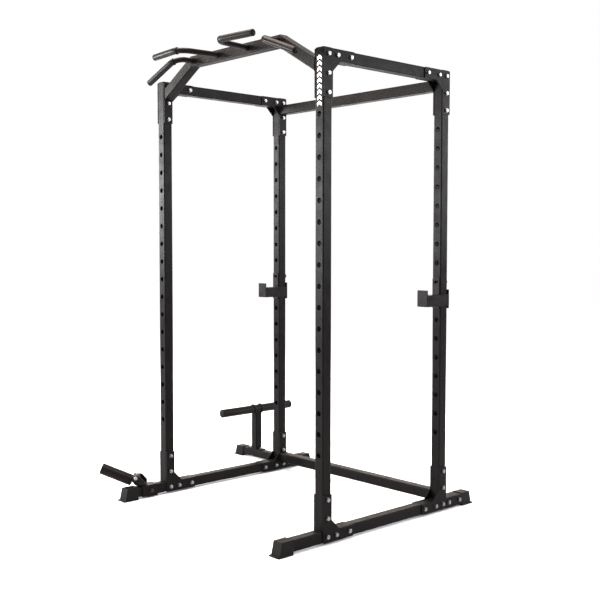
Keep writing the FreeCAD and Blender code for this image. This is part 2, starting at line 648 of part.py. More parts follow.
def socket_end():
    """Centre of the sleeve's closed end and its direction, in the swivel's own YZ plane."""
    tilt = math.radians(REST_TILT)
    along = Vector(0, -math.cos(tilt), math.sin(tilt))
    below = Vector(0, -math.sin(tilt), -math.cos(tilt))
    return tilt_point() + along * SOCKET_BACK + below * SOCKET_DROP, along


def tilt_point():
    """Middle of the tilt bolt, in the swivel's own frame."""
    return Vector(0, -TILT_S, YOKE_Z + TILT_H)


def yoke():
    """U-shaped yoke: a floor that turns on the boss and two cheeks that hold the tilt bolt."""
    half, top, centre = YOKE_W / 2, YOKE_Z + CHEEK_H, tilt_point()
    foot, nose = centre.y - BOLT_D / 2, centre.y - CHEEK_NOSE
    floor = box(-half, half, foot, YOKE_BACK, YOKE_Z, YOKE_Z + YOKE_PLATE)
    side = [Vector(0, foot, YOKE_Z), Vector(0, YOKE_BACK, YOKE_Z),
            Vector(0, YOKE_BACK, top - CHEEK_SLANT), Vector(0, YOKE_BACK - CHEEK_SLANT, top),
            Vector(0, nose, top), Vector(0, nose, centre.z - BOLT_D)]
    cheek = Part.Face(Part.makePolygon(side + side[:1])).extrude(X * YOKE_PLATE)
    near, far = cheek.copy(), cheek.copy()
    near.translate(X * (half - YOKE_PLATE))
    far.translate(X * -half)
    solid = floor.fuse([near, far]).removeSplitter()
    solid = drill(solid, [Vector(0, 0, YOKE_Z)], Z, SWIVEL_D + 2 * RUN_FIT, CHEEK_H)
    return swivel_frame(drill(solid, [tilt_point()], X, BOLT_D + 2 * THREAD_FIT, YOKE_W))


def tilt_bolt():
    """Bolt across the yoke. It screws into the far cheek."""
    head = tilt_point() + X * (YOKE_W / 2)
    solid = hexagon(head, X, HEAD_H).fuse(rod(head, head - X * YOKE_W, BOLT_D))
    return swivel_frame(solid.removeSplitter())


def landmine_sleeve():
    """Socket for a bar's end, closed at the back, with a lug and barrel on the tilt bolt."""
    end, along = socket_end()
    bolt_centre = tilt_point()
    length = YOKE_W / 2 - YOKE_PLATE - YOKE_GAP
    outside = rod(end, end + along * SOCKET_L, SOCKET_D)
    bore = rod(end + along * SOCKET_FLOOR, end + along * (SOCKET_L + 1), SOCKET_BORE)
    barrel = rod(bolt_centre - X * length, bolt_centre + X * length, BARREL_D)
    back = end + along * (SOCKET_FLOOR / 2)
    reach = (back - bolt_centre).Length
    lug = box(-BARREL_D / 4, BARREL_D / 4, -BARREL_D / 2, BARREL_D / 2, 0, reach)
    lug.Placement = Placement(bolt_centre, Rotation(Z, back - bolt_centre))
    solid = outside.fuse([barrel, lug]).cut(bore)
    solid = solid.cut(half_space(Vector(0, 0, FOOT_TOP + SOCKET_LIFT), -Z)).removeSplitter()
    return swivel_frame(drill(solid, [bolt_centre], X, BOLT_D + 2 * RUN_FIT, YOKE_W))


# ---------------------------------------------------------------- the whole cage
def build():
    """Every node of the cage, by name, laid out about the centre of the uprights."""
    nodes = {}
    for side_name, side in SIDES.items():
        for end_name, end in ENDS.items():
            place = f"{end_name}_{side_name}"
            nodes[f"upright_{place}"] = upright(side, end)
            for layer in ("outer", "inner"):
                for level in ("top", "base"):
                    nodes[f"{level}_plate_{place}_{layer}"] = corner_plate(
                        side, end, level, layer == "inner")
            tube_end = Vector(side * HALF_W, FOOT_Y0 if end == FRONT else FOOT_Y1, 0)
            nodes[f"foot_cap_{place}"] = foot_cap(tube_end, end * 90.0, TUBE)
        nodes[f"top_beam_{side_name}"] = top_beam(side)
        nodes[f"foot_tube_{side_name}"] = foot_tube(side)
        for name, path in grip_paths(side).items():
            nodes[f"{name}_grip_tube_{side_name}"] = grip_tube(path)
            nodes[f"{name}_grip_sleeve_{side_name}"] = grip_sleeve(path)
        nodes[f"hook_{side_name}"] = hook_bracket(side)
        nodes[f"hook_pin_{side_name}"] = hook_pin(side)

    nodes["crossmember_top_rear"] = crossmember((TOP_BOLTS[0] + TOP_BOLTS[1]) / 2)
    nodes["crossmember_base_rear"] = crossmember((BASE_BOLTS[0] + BASE_BOLTS[1]) / 2)
    nodes["pull_up_beam"] = pull_up_beam()
    nodes["grip_end_caps"] = [grip_end_cap(path) for side in SIDES.values()
                              for path in grip_paths(side).values()]
    nodes["upright_caps"] = [upright_cap(side, end) for side in SIDES.values()
                             for end in ENDS.values()]

    nodes["plate_post_base"] = post_base()
    post_tip = Vector(POST_CENTRE.x - POST_TIP, POST_CENTRE.y, 0)
    nodes["plate_post_foot_cap"] = foot_cap(post_tip, 180.0, POST_TUBE)
    nodes["plate_post"] = plate_post()
    nodes["plate_peg_bar"] = peg_bar()
    nodes["plate_peg_collars"] = [peg_collar(sign) for sign in (FRONT, REAR)]
    nodes["plate_peg_end_caps"] = [peg_cap(sign) for sign in (FRONT, REAR)]

    bolts, washers, nuts = frame_fasteners()
    post_bolts, post_washers, post_nuts = post_fasteners()
    nodes["frame_bolts"] = bolts
    nodes["plate_post_bolts"] = post_bolts
    nodes["frame_washers"] = washers + post_washers
    nodes["frame_nuts"] = nuts + post_nuts

    nodes["landmine_saddle"] = landmine_saddle()
    nodes["landmine_swivel_bolt"] = swivel_bolt()
    nodes["landmine_yoke"] = yoke()
    nodes["landmine_tilt_bolt"] = tilt_bolt()
    nodes["landmine_sleeve"] = landmine_sleeve()
    return {name: Part.makeCompound(shape) if isinstance(shape, list) else shape
            for name, shape in nodes.items()}


def origin_shift(nodes):
    """Move that puts the centre of the footprint's bounding box on the origin."""
    bounds = Part.makeCompound(list(nodes.values())).optimalBoundingBox(False, False)
    return Vector(-bounds.Center.x, -bounds.Center.y, 0)


def main():
    """Write one STEP file per node into parts/."""
    os.makedirs("parts", exist_ok=True)
    nodes = build()
    shift = origin_shift(nodes)
    for name, shape in nodes.items():
        shape.translate(shift)
        shape.exportStep(os.path.join("parts", f"{name}.step"))
    print(f"{len(nodes)} nodes, moved by {shift.x:.3f}, {shift.y:.3f}")


main()
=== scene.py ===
"""Looks of the power cage: finishes for its steel, and modelled fasteners, feet, grips, hooks,
welds and landmine socket, all standing where the loaded frame says.

Sizes are real millimetres. They are turned to metres where a mesh is made.
"""

import logging
import math
import random
from collections.abc import Callable, Sequence
from dataclasses import dataclass, field
from enum import Enum

import bpy
from mathutils import Matrix, Vector


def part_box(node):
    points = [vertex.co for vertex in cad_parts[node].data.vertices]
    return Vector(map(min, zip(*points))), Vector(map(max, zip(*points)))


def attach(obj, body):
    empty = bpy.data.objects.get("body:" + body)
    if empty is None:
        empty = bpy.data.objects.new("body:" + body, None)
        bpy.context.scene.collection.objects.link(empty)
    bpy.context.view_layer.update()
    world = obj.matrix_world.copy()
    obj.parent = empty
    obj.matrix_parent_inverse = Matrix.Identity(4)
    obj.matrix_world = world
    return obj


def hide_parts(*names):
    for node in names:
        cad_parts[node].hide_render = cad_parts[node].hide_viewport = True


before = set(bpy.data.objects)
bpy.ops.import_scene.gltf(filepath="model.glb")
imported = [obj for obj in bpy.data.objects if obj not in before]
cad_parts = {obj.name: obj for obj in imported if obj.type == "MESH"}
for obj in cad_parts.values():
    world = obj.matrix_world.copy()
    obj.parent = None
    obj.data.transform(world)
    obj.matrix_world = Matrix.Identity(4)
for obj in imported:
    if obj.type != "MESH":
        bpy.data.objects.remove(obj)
LOG = logging.getLogger("power_cage")
MM = 0.001
ORIGIN, X, Y, Z = Vector(), Vector((1, 0, 0)), Vector((0, 1, 0)), Vector((0, 0, 1))
# a Mix node's colour sockets share their names with its others, so they go by number
MIX_A, MIX_B, MIX_RESULT = 6, 7, 2
Piece = bpy.types.Object
Test = Callable[[Vector, Vector], bool]


class Side(Enum):
    """Left or right of the cage, as the sign of X."""

    LEFT = -1
    RIGHT = 1


class End(Enum):
    """Front or rear of the cage, as the sign of Y."""

    FRONT = -1
    REAR = 1


class Body(Enum):
    """The rigid bodies that a piece can ride on."""

    FRAME = "frame"
    HOOK_LEFT = "hook_left_body"
    HOOK_RIGHT = "hook_right_body"
    SWIVEL = "landmine_swivel"
    SOCKET = "landmine_socket"


# -------- finishes
def linear(hex_colour: str) -> tuple[float, float, float, float]:
    """Turn an sRGB hex colour into linear values.

    Args:
        hex_colour: six hex digits with a leading #.

    Returns:
        Linear red, green and blue, with an alpha of one.
    """
    channels = [int(hex_colour[i : i + 2], 16) / 255 for i in (1, 3, 5)]
    straight = [c / 12.92 if c <= 0.04045 else ((c + 0.055) / 1.055) ** 2.4 for c in channels]
    return (*straight, 1.0)


def add_node(
    tree: bpy.types.NodeTree,
    kind: str,
    settings: dict[str, object] | None = None,
    links: dict[str, bpy.types.NodeSocket] | None = None,
) -> bpy.types.Node:
    """Add a node with its settings and incoming links.

    Args:
        tree: the material's node tree.
        kind: the node's type name.
        settings: values of input sockets, or of the node itself where it has no such socket.
        links: the socket that feeds each named input.

    Returns:
        The new node.
    """
    made = tree.nodes.new(kind)
    for name, value in (settings or {}).items():
        if name in made.inputs:
            made.inputs[name].default_value = value
        else:
            setattr(made, name, value)
    for name, source in (links or {}).items():
        tree.links.new(source, made.inputs[name])
    return made


@dataclass(frozen=True)
class Finish:
    """A surface: two close colours that mottle it, its gloss, and the grain that its bump draws."""

    title: str
    colour: str
    mottle: str
    roughness: float
    mottle_mm: float
    grain_mm: float
    grain_depth_mm: float
    metallic: float = 0.0
    specular: float = 0.5
    edge_mm: float = 0.0
    roughness_spread: float = 0.08

    def build(self) -> bpy.types.Material:
        """Build the finish's material.

        Returns:
            The material, ready to put on a piece.
        """
        material = bpy.data.materials.new(self.title)
        material.use_nodes = True
        tree = material.node_tree
        tree.nodes.clear()
        place = add_node(tree, "ShaderNodeTexCoord").outputs["Object"]
        cloud = add_node(
            tree,
            "ShaderNodeTexNoise",
            {"Scale": 1 / (self.mottle_mm * MM), "Detail": 3.0, "Roughness": 0.55},
            {"Vector": place},
        )
        patches = cloud.outputs["Fac"]
        colour = add_node(tree, "ShaderNodeMix", {"data_type": "RGBA"}, {"Factor": patches})
        colour.inputs[MIX_A].default_value = linear(self.colour)
        colour.inputs[MIX_B].default_value = linear(self.mottle)
        gloss = add_node(
            tree,
            "ShaderNodeMapRange",
            {
                "From Min": 0.3,
                "From Max": 0.7,
                "To Min": self.roughness - self.roughness_spread,
                "To Max": self.roughness + self.roughness_spread,
            },
            {"Value": patches},
        )
        grain = add_node(
            tree,
            "ShaderNodeTexNoise",
            {"Scale": 1 / (self.grain_mm * MM), "Detail": 2.0, "Roughness": 0.6},
            {"Vector": place},
        )
        bump = add_node(
            tree,
            "ShaderNodeBump",
            {"Strength": 0.6, "Distance": self.grain_depth_mm * MM},
            {"Height": grain.outputs["Fac"]},
        )
        if self.edge_mm > 0:
            edge = add_node(tree, "ShaderNodeBevel", {"samples": 4, "Radius": self.edge_mm * MM})
            tree.links.new(edge.outputs["Normal"], bump.inputs["Normal"])
        surface = add_node(
            tree,
            "ShaderNodeBsdfPrincipled",
            {"Metallic": self.metallic, "Specular IOR Level": self.specular},
            {
                "Base Color": colour.outputs[MIX_RESULT],
                "Roughness": gloss.outputs["Result"],
                "Normal": bump.outputs["Normal"],
            },
        )
        add_node(tree, "ShaderNodeOutputMaterial", None, {"Surface": surface.outputs["BSDF"]})
        return material


# Polyester powder coat, sprayed and baked: near-black, satin, with a fine orange peel. The peel is
# about 1.5 mm across on steel and is drawn at 4 mm so that it shows.
POWDER_COAT = Finish(
    "powder_coated_steel", "#080808", "#0f0d0d", 0.35, 60.0, 4.0, 0.05, specular=0.035, edge_mm=0.8
)
# The peg bar, pull-up tubes and hooks come out of the same oven, a little glossier on round stock.
ROUND_COAT = Finish(
    "powder_coated_round_stock", "#0a0909", "#110e0d", 0.34, 45.0, 4.0, 0.04,
    specular=0.05, edge_mm=0.6,
)
# Bright zinc plate on cold-headed steel: pale, slightly blue, with soft cloudy passivation.
ZINC_PLATE = Finish(
    "zinc_plated_steel", "#76777b", "#5c5e63", 0.3, 9.0, 1.2, 0.03,
    metallic=1.0, roughness_spread=0.1,
)
# Black-oxide steel of the hook pins and the landmine's clamp bolt: a thin oiled conversion coat
# that leaves the metal's own sheen, browner and duller than plate.
BLACK_OXIDE = Finish(
    "black_oxide_steel", "#221f1d", "#2c2826", 0.36, 12.0, 1.6, 0.04, metallic=0.6, specular=0.2
)
# Injection-moulded polypropylene: deep black with a fine spark-eroded grain, drawn at 1.6 mm.
MOULDED_PLASTIC = Finish(
    "moulded_polypropylene", "#080808", "#0d0c0c", 0.42, 30.0, 1.6, 0.06, specular=0.05, edge_mm=0.6
)
# Dipped vinyl over the grips: smooth and semi-gloss, with next to no grain.
GRIP_VINYL = Finish("grip_vinyl", "#0d0b0a", "#110e0d", 0.38, 38.0, 3.0, 0.006, specular=0.05)
# Cut vinyl decal: flat off-white film.
DECAL_FILM = Finish("decal_vinyl", "#f1f0ee", "#e6e5e2", 0.5, 40.0, 3.0, 0.01, specular=0.4)
# Seamless studio paper, matt and faintly cool so that warm light leaves it white.
BACKDROP_PAPER = Finish(
    "backdrop_paper", "#dadbe1", "#d9dae0", 0.9, 900.0, 20.0, 0.02, specular=0.1
)


class FinishShelf:
    """Builds each finish once and hands it out."""

    def __init__(self) -> None:
        """Start with no materials built."""
        self.built: dict[str, bpy.types.Material] = {}

    def take(self, finish: Finish) -> bpy.types.Material:
        """Hand out a finish's material, building it on its first use.

        Args:
            finish: the surface that is wanted.

        Returns:
            Its material.
        """
        if finish.title not in self.built:
            self.built[finish.title] = finish.build()
        return self.built[finish.title]


SHELF = FinishShelf()


# -------- modelling by hand, in code
def leave_edit() -> None:
    """Go back from edit mode to object mode."""
    bpy.ops.object.mode_set(mode="OBJECT")


def clear_selection() -> None:
    """Leave edit mode and deselect everything."""
    if bpy.context.object and bpy.context.object.mode != "OBJECT":
        leave_edit()
    bpy.ops.object.select_all(action="DESELECT")


def pick(piece: Piece) -> None:
    """Make one piece the only selected one, and the active one.

    Args:
        piece: the piece to pick.
    """
    clear_selection()
    piece.select_set(True)
    bpy.context.view_layer.objects.active = piece


def settle(piece: Piece) -> Piece:
    """Put a piece's place, turn and scale into its mesh.

    Args:
        piece: the piece to settle.

    Returns:
        The same piece.
    """
    pick(piece)
    bpy.ops.object.transform_apply(location=True, rotation=True, scale=True)
    return piece


def start_selection(piece: Piece, kind: str) -> None:
    """Deselect all of a mesh and make one kind of element the selectable one.

    Args:
        piece: the mesh to select on.
        kind: FACE or EDGE.
    """
    pick(piece)
    bpy.ops.object.mode_set(mode="EDIT")
    bpy.ops.mesh.select_mode(type=kind)
    bpy.ops.mesh.select_all(action="DESELECT")
    leave_edit()


def select_faces(piece: Piece, wanted: Test) -> None:
    """Select faces by their centre and normal, and stay in edit mode.

    Args:
        piece: the mesh to select on.
        wanted: says from a face's centre and normal whether it is selected.
    """
    start_selection(piece, "FACE")
    for face in piece.data.polygons:
        face.select = wanted(face.center, face.normal)
    bpy.ops.object.mode_set(mode="EDIT")


def select_edges(piece: Piece, wanted: Test) -> None:
    """Select edges by their two ends, and stay in edit mode.

    Args:
        piece: the mesh to select on.
        wanted: says from an edge's two ends whether it is selected.
    """
    start_selection(piece, "EDGE")
    points = piece.data.vertices
    for edge in piece.data.edges:
        edge.select = wanted(points[edge.vertices[0]].co, points[edge.vertices[1]].co)
    bpy.ops.object.mode_set(mode="EDIT")


def facing(axis: Vector, both: bool = False) -> Test:
    """Make a test for flat faces that look along an axis.

    Args:
        axis: the direction, of length one.
        both: whether faces that look the other way pass too.

    Returns:
        A test of a face's centre and normal.
    """
    least = 0.9
    return lambda middle, normal: (abs(normal.dot(axis)) if both else normal.dot(axis)) > least


def draw_out(move: Vector) -> None:
    """Extrude what is selected by a move in millimetres."""
    bpy.ops.mesh.extrude_region_move(TRANSFORM_OT_translate={"value": move * MM})


def round_edges(
    piece: Piece, width_mm: float, segments: int, angle: float = 30.0
) -> None:
    """Round every edge sharper than an angle with a bevel that is applied.

    Args:
        piece: the mesh to round.
        width_mm: width of the bevel.
        segments: faces across the bevel.
        angle: least angle between faces, in degrees.
    """
    pick(piece)
    bevel = piece.modifiers.new("rounding", "BEVEL")
    bevel.width = width_mm * MM
    bevel.segments = segments
    bevel.limit_method = "ANGLE"
    bevel.angle_limit = math.radians(angle)
    bpy.ops.object.modifier_apply(modifier=bevel.name)


def block(low: Vector, high: Vector) -> Piece:
    """Add a cube between two corners.

    Args:
        low: lowest corner, in millimetres.
        high: highest corner, in millimetres.

    Returns:
        The new mesh, with its place in its vertices.
    """
    clear_selection()
    middle = (low + high) / 2 * MM
    bpy.ops.mesh.primitive_cube_add(size=1, location=middle)
    made = bpy.context.object
    made.scale = (high - low) * MM
    return settle(made)


def barrel(
    base: Vector, axis: Vector, radius: float, length: float, sides: int = 32
) -> Piece:
    """Add a cylinder that stands on a point.

    Args:
        base: centre of its first end, in millimetres.
        axis: direction to its other end.
        radius: its radius, in millimetres.
        length: its length, in millimetres.
        sides: how many sides it has.

    Returns:
        The new mesh, with its place in its vertices.
    """
    clear_selection()
    heading = axis.normalized()
    bpy.ops.mesh.primitive_cylinder_add(
        vertices=sides,
        radius=radius * MM,
        depth=length * MM,
        location=(base + heading * (length / 2)) * MM,
        rotation=heading.to_track_quat("Z", "Y").to_euler(),
    )
    return settle(bpy.context.object)


def merge(pieces: Sequence[Piece]) -> Piece:
    """Join meshes into the first one.

    Args:
        pieces: the meshes to join.

    Returns:
        The one mesh that is left.
    """
    pick(pieces[0])
    for other in pieces[1:]:
        other.select_set(True)
    bpy.ops.object.join()
    return bpy.context.object


def copy_to(pattern: Piece, place: Matrix) -> Piece:
    """Copy a piece, with its own mesh, to a place.

    Args:
        pattern: the piece to copy.
        place: the move from the pattern's place to the copy's, in metres.

    Returns:
        The copy, with its place in its vertices.
    """
    twin = pattern.copy()
    twin.data = pattern.data.copy()
    twin.data.transform(place)
    bpy.context.collection.objects.link(twin)
    return twin


def dress(
    piece: Piece,
    name: str,
    finish: Finish,
    slot: str,
    replaced: Sequence[str] = (),
    body: Body = Body.FRAME,
    angle: float = 35.0,
) -> Piece:
    """Name, shade and colour a piece, and tie it to its body.

    Args:
        piece: the finished mesh.
        name: its name.
        finish: what its surface is.
        slot: the record's material slot; not used.
        replaced: names of the frame's nodes that it stands for.
        body: the body that it rides on.
        angle: faces that meet at less than this are shaded smooth, in degrees.

    Returns:
        The same piece.
    """
    pick(piece)
    bpy.ops.object.shade_smooth_by_angle(angle=math.radians(angle))
    level = piece.modifiers.new("flat faces stay flat", "WEIGHTED_NORMAL")
    level.keep_sharp = True
    bpy.ops.object.modifier_apply(modifier=level.name)
    piece.name = piece.data.name = name
    piece.data.materials.clear()
    piece.data.materials.append(SHELF.take(finish))
    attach(piece, body.value)
    if replaced:
        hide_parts(*replaced)
    LOG.info("%s: %d faces", name, len(piece.data.polygons))
    return piece


def coat(node: str, finish: Finish) -> None:
    """Give one of the frame's own nodes a finish.

    Args:
        node: the node's name.
        finish: what its surface is.
    """
    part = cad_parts[node]
    for slot in part.material_slots:
        slot.material = SHELF.take(finish)
    if not part.material_slots:
        part.data.materials.append(SHELF.take(finish))


def box_mm(node: str) -> tuple[Vector, Vector]:
    """Lowest and highest corner of one of the frame's nodes, in millimetres."""
    low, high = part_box(node)
    return Vector(low) / MM, Vector(high) / MM


def move_to(spot: Vector) -> Matrix:
    """Move from the origin to a point given in millimetres."""
    return Matrix.Translation(spot * MM)


def turn_to(axis: Vector, spin: float = 0.0) -> Matrix:
    """Turn that takes +Z to an axis, after a spin about +Z in radians."""
    return axis.to_track_quat("Z", "Y").to_matrix().to_4x4() @ Matrix.Rotation(spin, 4, "Z")


# -------- where things stand
@dataclass
class Layout:
    """Centre of the four uprights, and the sizes that place pieces about it."""

    tube: float = 50.0
    plate: float = 5.0
    first_bolt: float = 52.0
    bolt_step: float = 80.0
    tail_bolt: float = 45.0
    top_z: float = 2097.0
    beam_z: float = 2167.0
    leg_z: float = 2034.0
    cross_zs: tuple[float, float] = (2032.0, 75.0)
    foot_z: float = 35.0
    swivel_reach: float = 125.0
    collar_bolt: float = 32.0
    centre: Vector = field(init=False)
    half_w: float = field(init=False)
    half_d: float = field(init=False)

    def __post_init__(self) -> None:
        """Read the uprights' places from the frame."""
        first, last = box_mm("upright_front_left"), box_mm("upright_rear_right")
        middle = (first[0] + last[1]) / 2
        self.centre = Vector((middle.x, middle.y, 0))
        self.half_w = (last[1].x - first[0].x - self.tube) / 2
        self.half_d = (last[1].y - first[0].y - self.tube) / 2

    def at(self, x: float, y: float, z: float) -> Vector:
        """A point given about the uprights' centre, in the frame's millimetres."""
        return self.centre + Vector((x, y, z))

    @property
    def plate_in(self) -> float:
        """Inner face of the inner corner plates, from the centre."""
        return self.half_w - self.tube / 2 - self.plate

    @property
    def front_face(self) -> float:
        """Front face of the front uprights, from the centre."""
        return -self.half_d - self.tube / 2

    @property
    def swivel_y(self) -> float:
        """The landmine's swivel axis, from the centre."""
        return self.front_face - self.swivel_reach


# -------- tubes and corner plates
class SteelFrame:
    """Uprights, beams, foot tubes, crossmembers and corner plates, which keep their own meshes."""

    def finish_nodes(self) -> None:
        """Coat every steel part that keeps its mesh, and the caps in the uprights."""
        flat = ("upright_front", "upright_rear", "top_beam", "foot_tube", "crossmember")
        flat += ("top_plate", "base_plate", "plate_post", "pull_up_beam", "landmine_saddle")
        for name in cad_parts:
            coat(name, POWDER_COAT if name.startswith(flat) else ROUND_COAT)
        coat("upright_caps", MOULDED_PLASTIC)
        LOG.info("steel frame: %d nodes coated", len(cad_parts))


# -------- fasteners
@dataclass
class Fasteners:
    """Hex bolts, washers and nuts of the corner joints."""

    layout: Layout
    shank: float = 10.0
    flats: float = 17.0
    head: float = 6.4
    nut: float = 8.4
    rim: float = 1.1
    corner_drop: float = 1.2
    flange_t: float = 0.5
    mark_r: float = 4.0
    mark_t: float = 0.45
    sunk: float = 0.2
    washer_d: float = 20.0
    washer_t: float = 2.0
    washer_rim: float = 4.4
    thread_out: float = 3.0
    thread_in: float = 0.5
    thread_turns: int = 3
    thread_root: float = 0.88

    def hexagon(self, height: float) -> Piece:
        """Model a hex prism on the origin, its top corners turned down as on a forged head.

        Args:
            height: height of the prism.

        Returns:
            The mesh.
        """
        made = barrel(ORIGIN, Z, self.flats / math.sqrt(3), height, 6)
        select_faces(made, facing(Z))
        bpy.ops.mesh.inset(thickness=self.rim * MM)
        leave_edit()
        near_top = (height - 0.1) * MM
        near_corner = max(v.co.xy.length for v in made.data.vertices) - 0.3 * MM
        for vertex in made.data.vertices:
            if vertex.co.z > near_top and vertex.co.xy.length > near_corner:
                vertex.co.z -= self.corner_drop * MM
        return made

    def model_bolt(self) -> Piece:
        """Model a bolt's head, whose underside is on the origin.

        Returns:
            The head with its bearing face and a plain raised disc.
        """
        head = self.hexagon(self.head)
        flange = barrel(ORIGIN, Z, self.flats / 2 - self.sunk, self.flange_t, 24)
        mark = barrel(Z * (self.head - self.sunk), Z, self.mark_r, self.mark_t, 16)
        round_edges(mark, 0.15, 1)
        return merge([head, flange, mark])

    def model_washer(self) -> Piece:
        """Model a washer that lies on the origin, its edge rolled by the punch.

        Returns:
            The washer.
        """
        made = barrel(ORIGIN, Z, self.washer_d / 2, self.washer_t, 28)
        select_faces(made, facing(Z, both=True))
        bpy.ops.mesh.inset(thickness=self.washer_rim * MM)
        leave_edit()
        round_edges(made, 0.45, 2, 50)
        return made

    def model_nut(self) -> Piece:
        """Model a nut on the origin with the bolt's thread standing out of it.

        Returns:
            The nut and a stack of tapered rings for the thread.
        """
        parts = [self.hexagon(self.nut)]
        rise = (self.thread_out + self.thread_in) / self.thread_turns
        for turn in range(self.thread_turns):
            start = Z * (self.nut - self.thread_in + turn * rise)
            ridge = barrel(start, Z, self.shank / 2, rise, 20)
            select_faces(ridge, facing(Z))
            root = (self.thread_root, self.thread_root, 1)
            bpy.ops.transform.resize(value=root, center_override=(0, 0, 0))
            leave_edit()
            parts.append(ridge)
        return merge(parts)

    def joints(self) -> list[tuple[Vector, Side, bool]]:
        """List the frame's through-bolts.

        Returns:
            The middle of each, its outward side and whether it has a nut.
        """
        place, step = self.layout, self.layout.bolt_step
        reach = [place.half_d - place.first_bolt - i * step for i in range(2)]
        beam_ys = reach + [-y for y in reach]
        top = place.top_z - place.tube / 2
        found = []
        for side in Side:
            x = side.value * place.half_w
            foot_ys = beam_ys + [-place.half_d, place.half_d]
            foot_ys += [place.half_d + place.tail_bolt + i * step for i in range(2)]
            if side is Side.LEFT:
                foot_ys.append(place.swivel_y + place.collar_bolt)
            for end in End:
                y = end.value * place.half_d
                for level in range(3):
                    # the pull-up beam's leg leaves no room for the uppermost front nut
                    nutted = not (end is End.FRONT and level == 0)
                    found.append((place.at(x, y, top - level * step), side, nutted))
                for level in (1, 2):
                    found.append((place.at(x, y, place.foot_z + level * step), side, True))
            found += [(place.at(x, y, top), side, True) for y in beam_ys]
            found += [(place.at(x, y, place.foot_z), side, True) for y in foot_ys]
        return found

    def build(self) -> None:
        """Model one bolt, washer and nut, and set a copy of each at every joint."""
        rng = random.Random(7)
        bolt, washer, nut = self.model_bolt(), self.model_washer(), self.model_nut()
        bolts, washers, nuts, clamp = [], [], [], []
        seat = self.layout.tube / 2 + self.layout.plate
        for middle, side, nutted in self.joints():
            out = X * side.value
            outer, inner = middle + out * seat, middle - out * seat
            faces = [(washers, washer, outer, out)]
            faces.append((bolts, bolt, outer + out * self.washer_t, out))
            if nutted:
                faces.append((washers, washer, inner, -out))
                faces.append((nuts, nut, inner - out * self.washer_t, -out))
            for group, pattern, point, axis in faces:
                turned = turn_to(axis, rng.uniform(0, math.tau))
                made = copy_to(pattern, move_to(point) @ turned)
                (clamp if middle.y < self.clamp_y() else group).append(made)
        low, high = box_mm("plate_post_bolts")
        for x in (low.x + self.flats / 2, high.x - self.flats / 2):
            under = Vector((x, (low.y + high.y) / 2, high.z - self.head))
            bolts.append(copy_to(bolt, move_to(under) @ turn_to(Z, rng.uniform(0, math.tau))))
            washers.append(copy_to(washer, move_to(under - Z * self.washer_t)))
        for pattern in (bolt, washer, nut):
            bpy.data.objects.remove(pattern)
        sets = (
            (bolts, "bolt_heads", ("frame_bolts", "plate_post_bolts")),
            (washers, "washers", ("frame_washers",)),
            (nuts, "nuts_and_thread_ends", ("frame_nuts",)),
        )
        for group, name, nodes in sets:
            dress(merge(group), name, ZINC_PLATE, "zinc", nodes)
        dress(merge(clamp), "clamp_bolt", BLACK_OXIDE, "zinc")

    def clamp_y(self) -> float:
        """Only the bolt through the landmine's collar stands in front of this line."""
        return self.layout.at(0, -self.layout.half_d - self.layout.tube, 0).y


# -------- grips
@dataclass
class GripShape:
    """Centre line of one grip, given about the uprights' centre: an arm, one bend and a bar."""

    name: str
    root: Vector
    corner: Vector
    tip: Vector
    radius: float
    sleeve_from: float = 0.7

    def __post_init__(self) -> None:
        """Work out the bend."""
        arm, run = (self.root - self.corner).normalized(), (self.tip - self.corner).normalized()
        half = arm.angle(run) / 2
        self.run = run
        self.axis = -arm.cross(run).normalized()
        self.centre = self.corner + (arm + run).normalized() * (self.radius / math.sin(half))
        self.start = self.corner + arm * (self.radius / math.tan(half)) - self.centre
        self.sweep = math.pi - 2 * half

    def on_bend(self, share: float) -> Vector:
        """Point this share of the way round the bend."""
        return self.centre + Matrix.Rotation(share * self.sweep, 3, self.axis) @ self.start

    def heading(self, share: float) -> Vector:
        """Direction of the path at this share of the bend."""
        return self.axis.cross(self.on_bend(share) - self.centre).normalized()


@dataclass(frozen=True)
class GripRun:
    """How a pair of grips runs: an arm out from the beam, then a bar outboard along it."""

    name: str
    root: float
    reach: float
    run: float
    bend: float
    splay: float = 0.0
    sweep: float = 0.0
    drop: float = 0.0


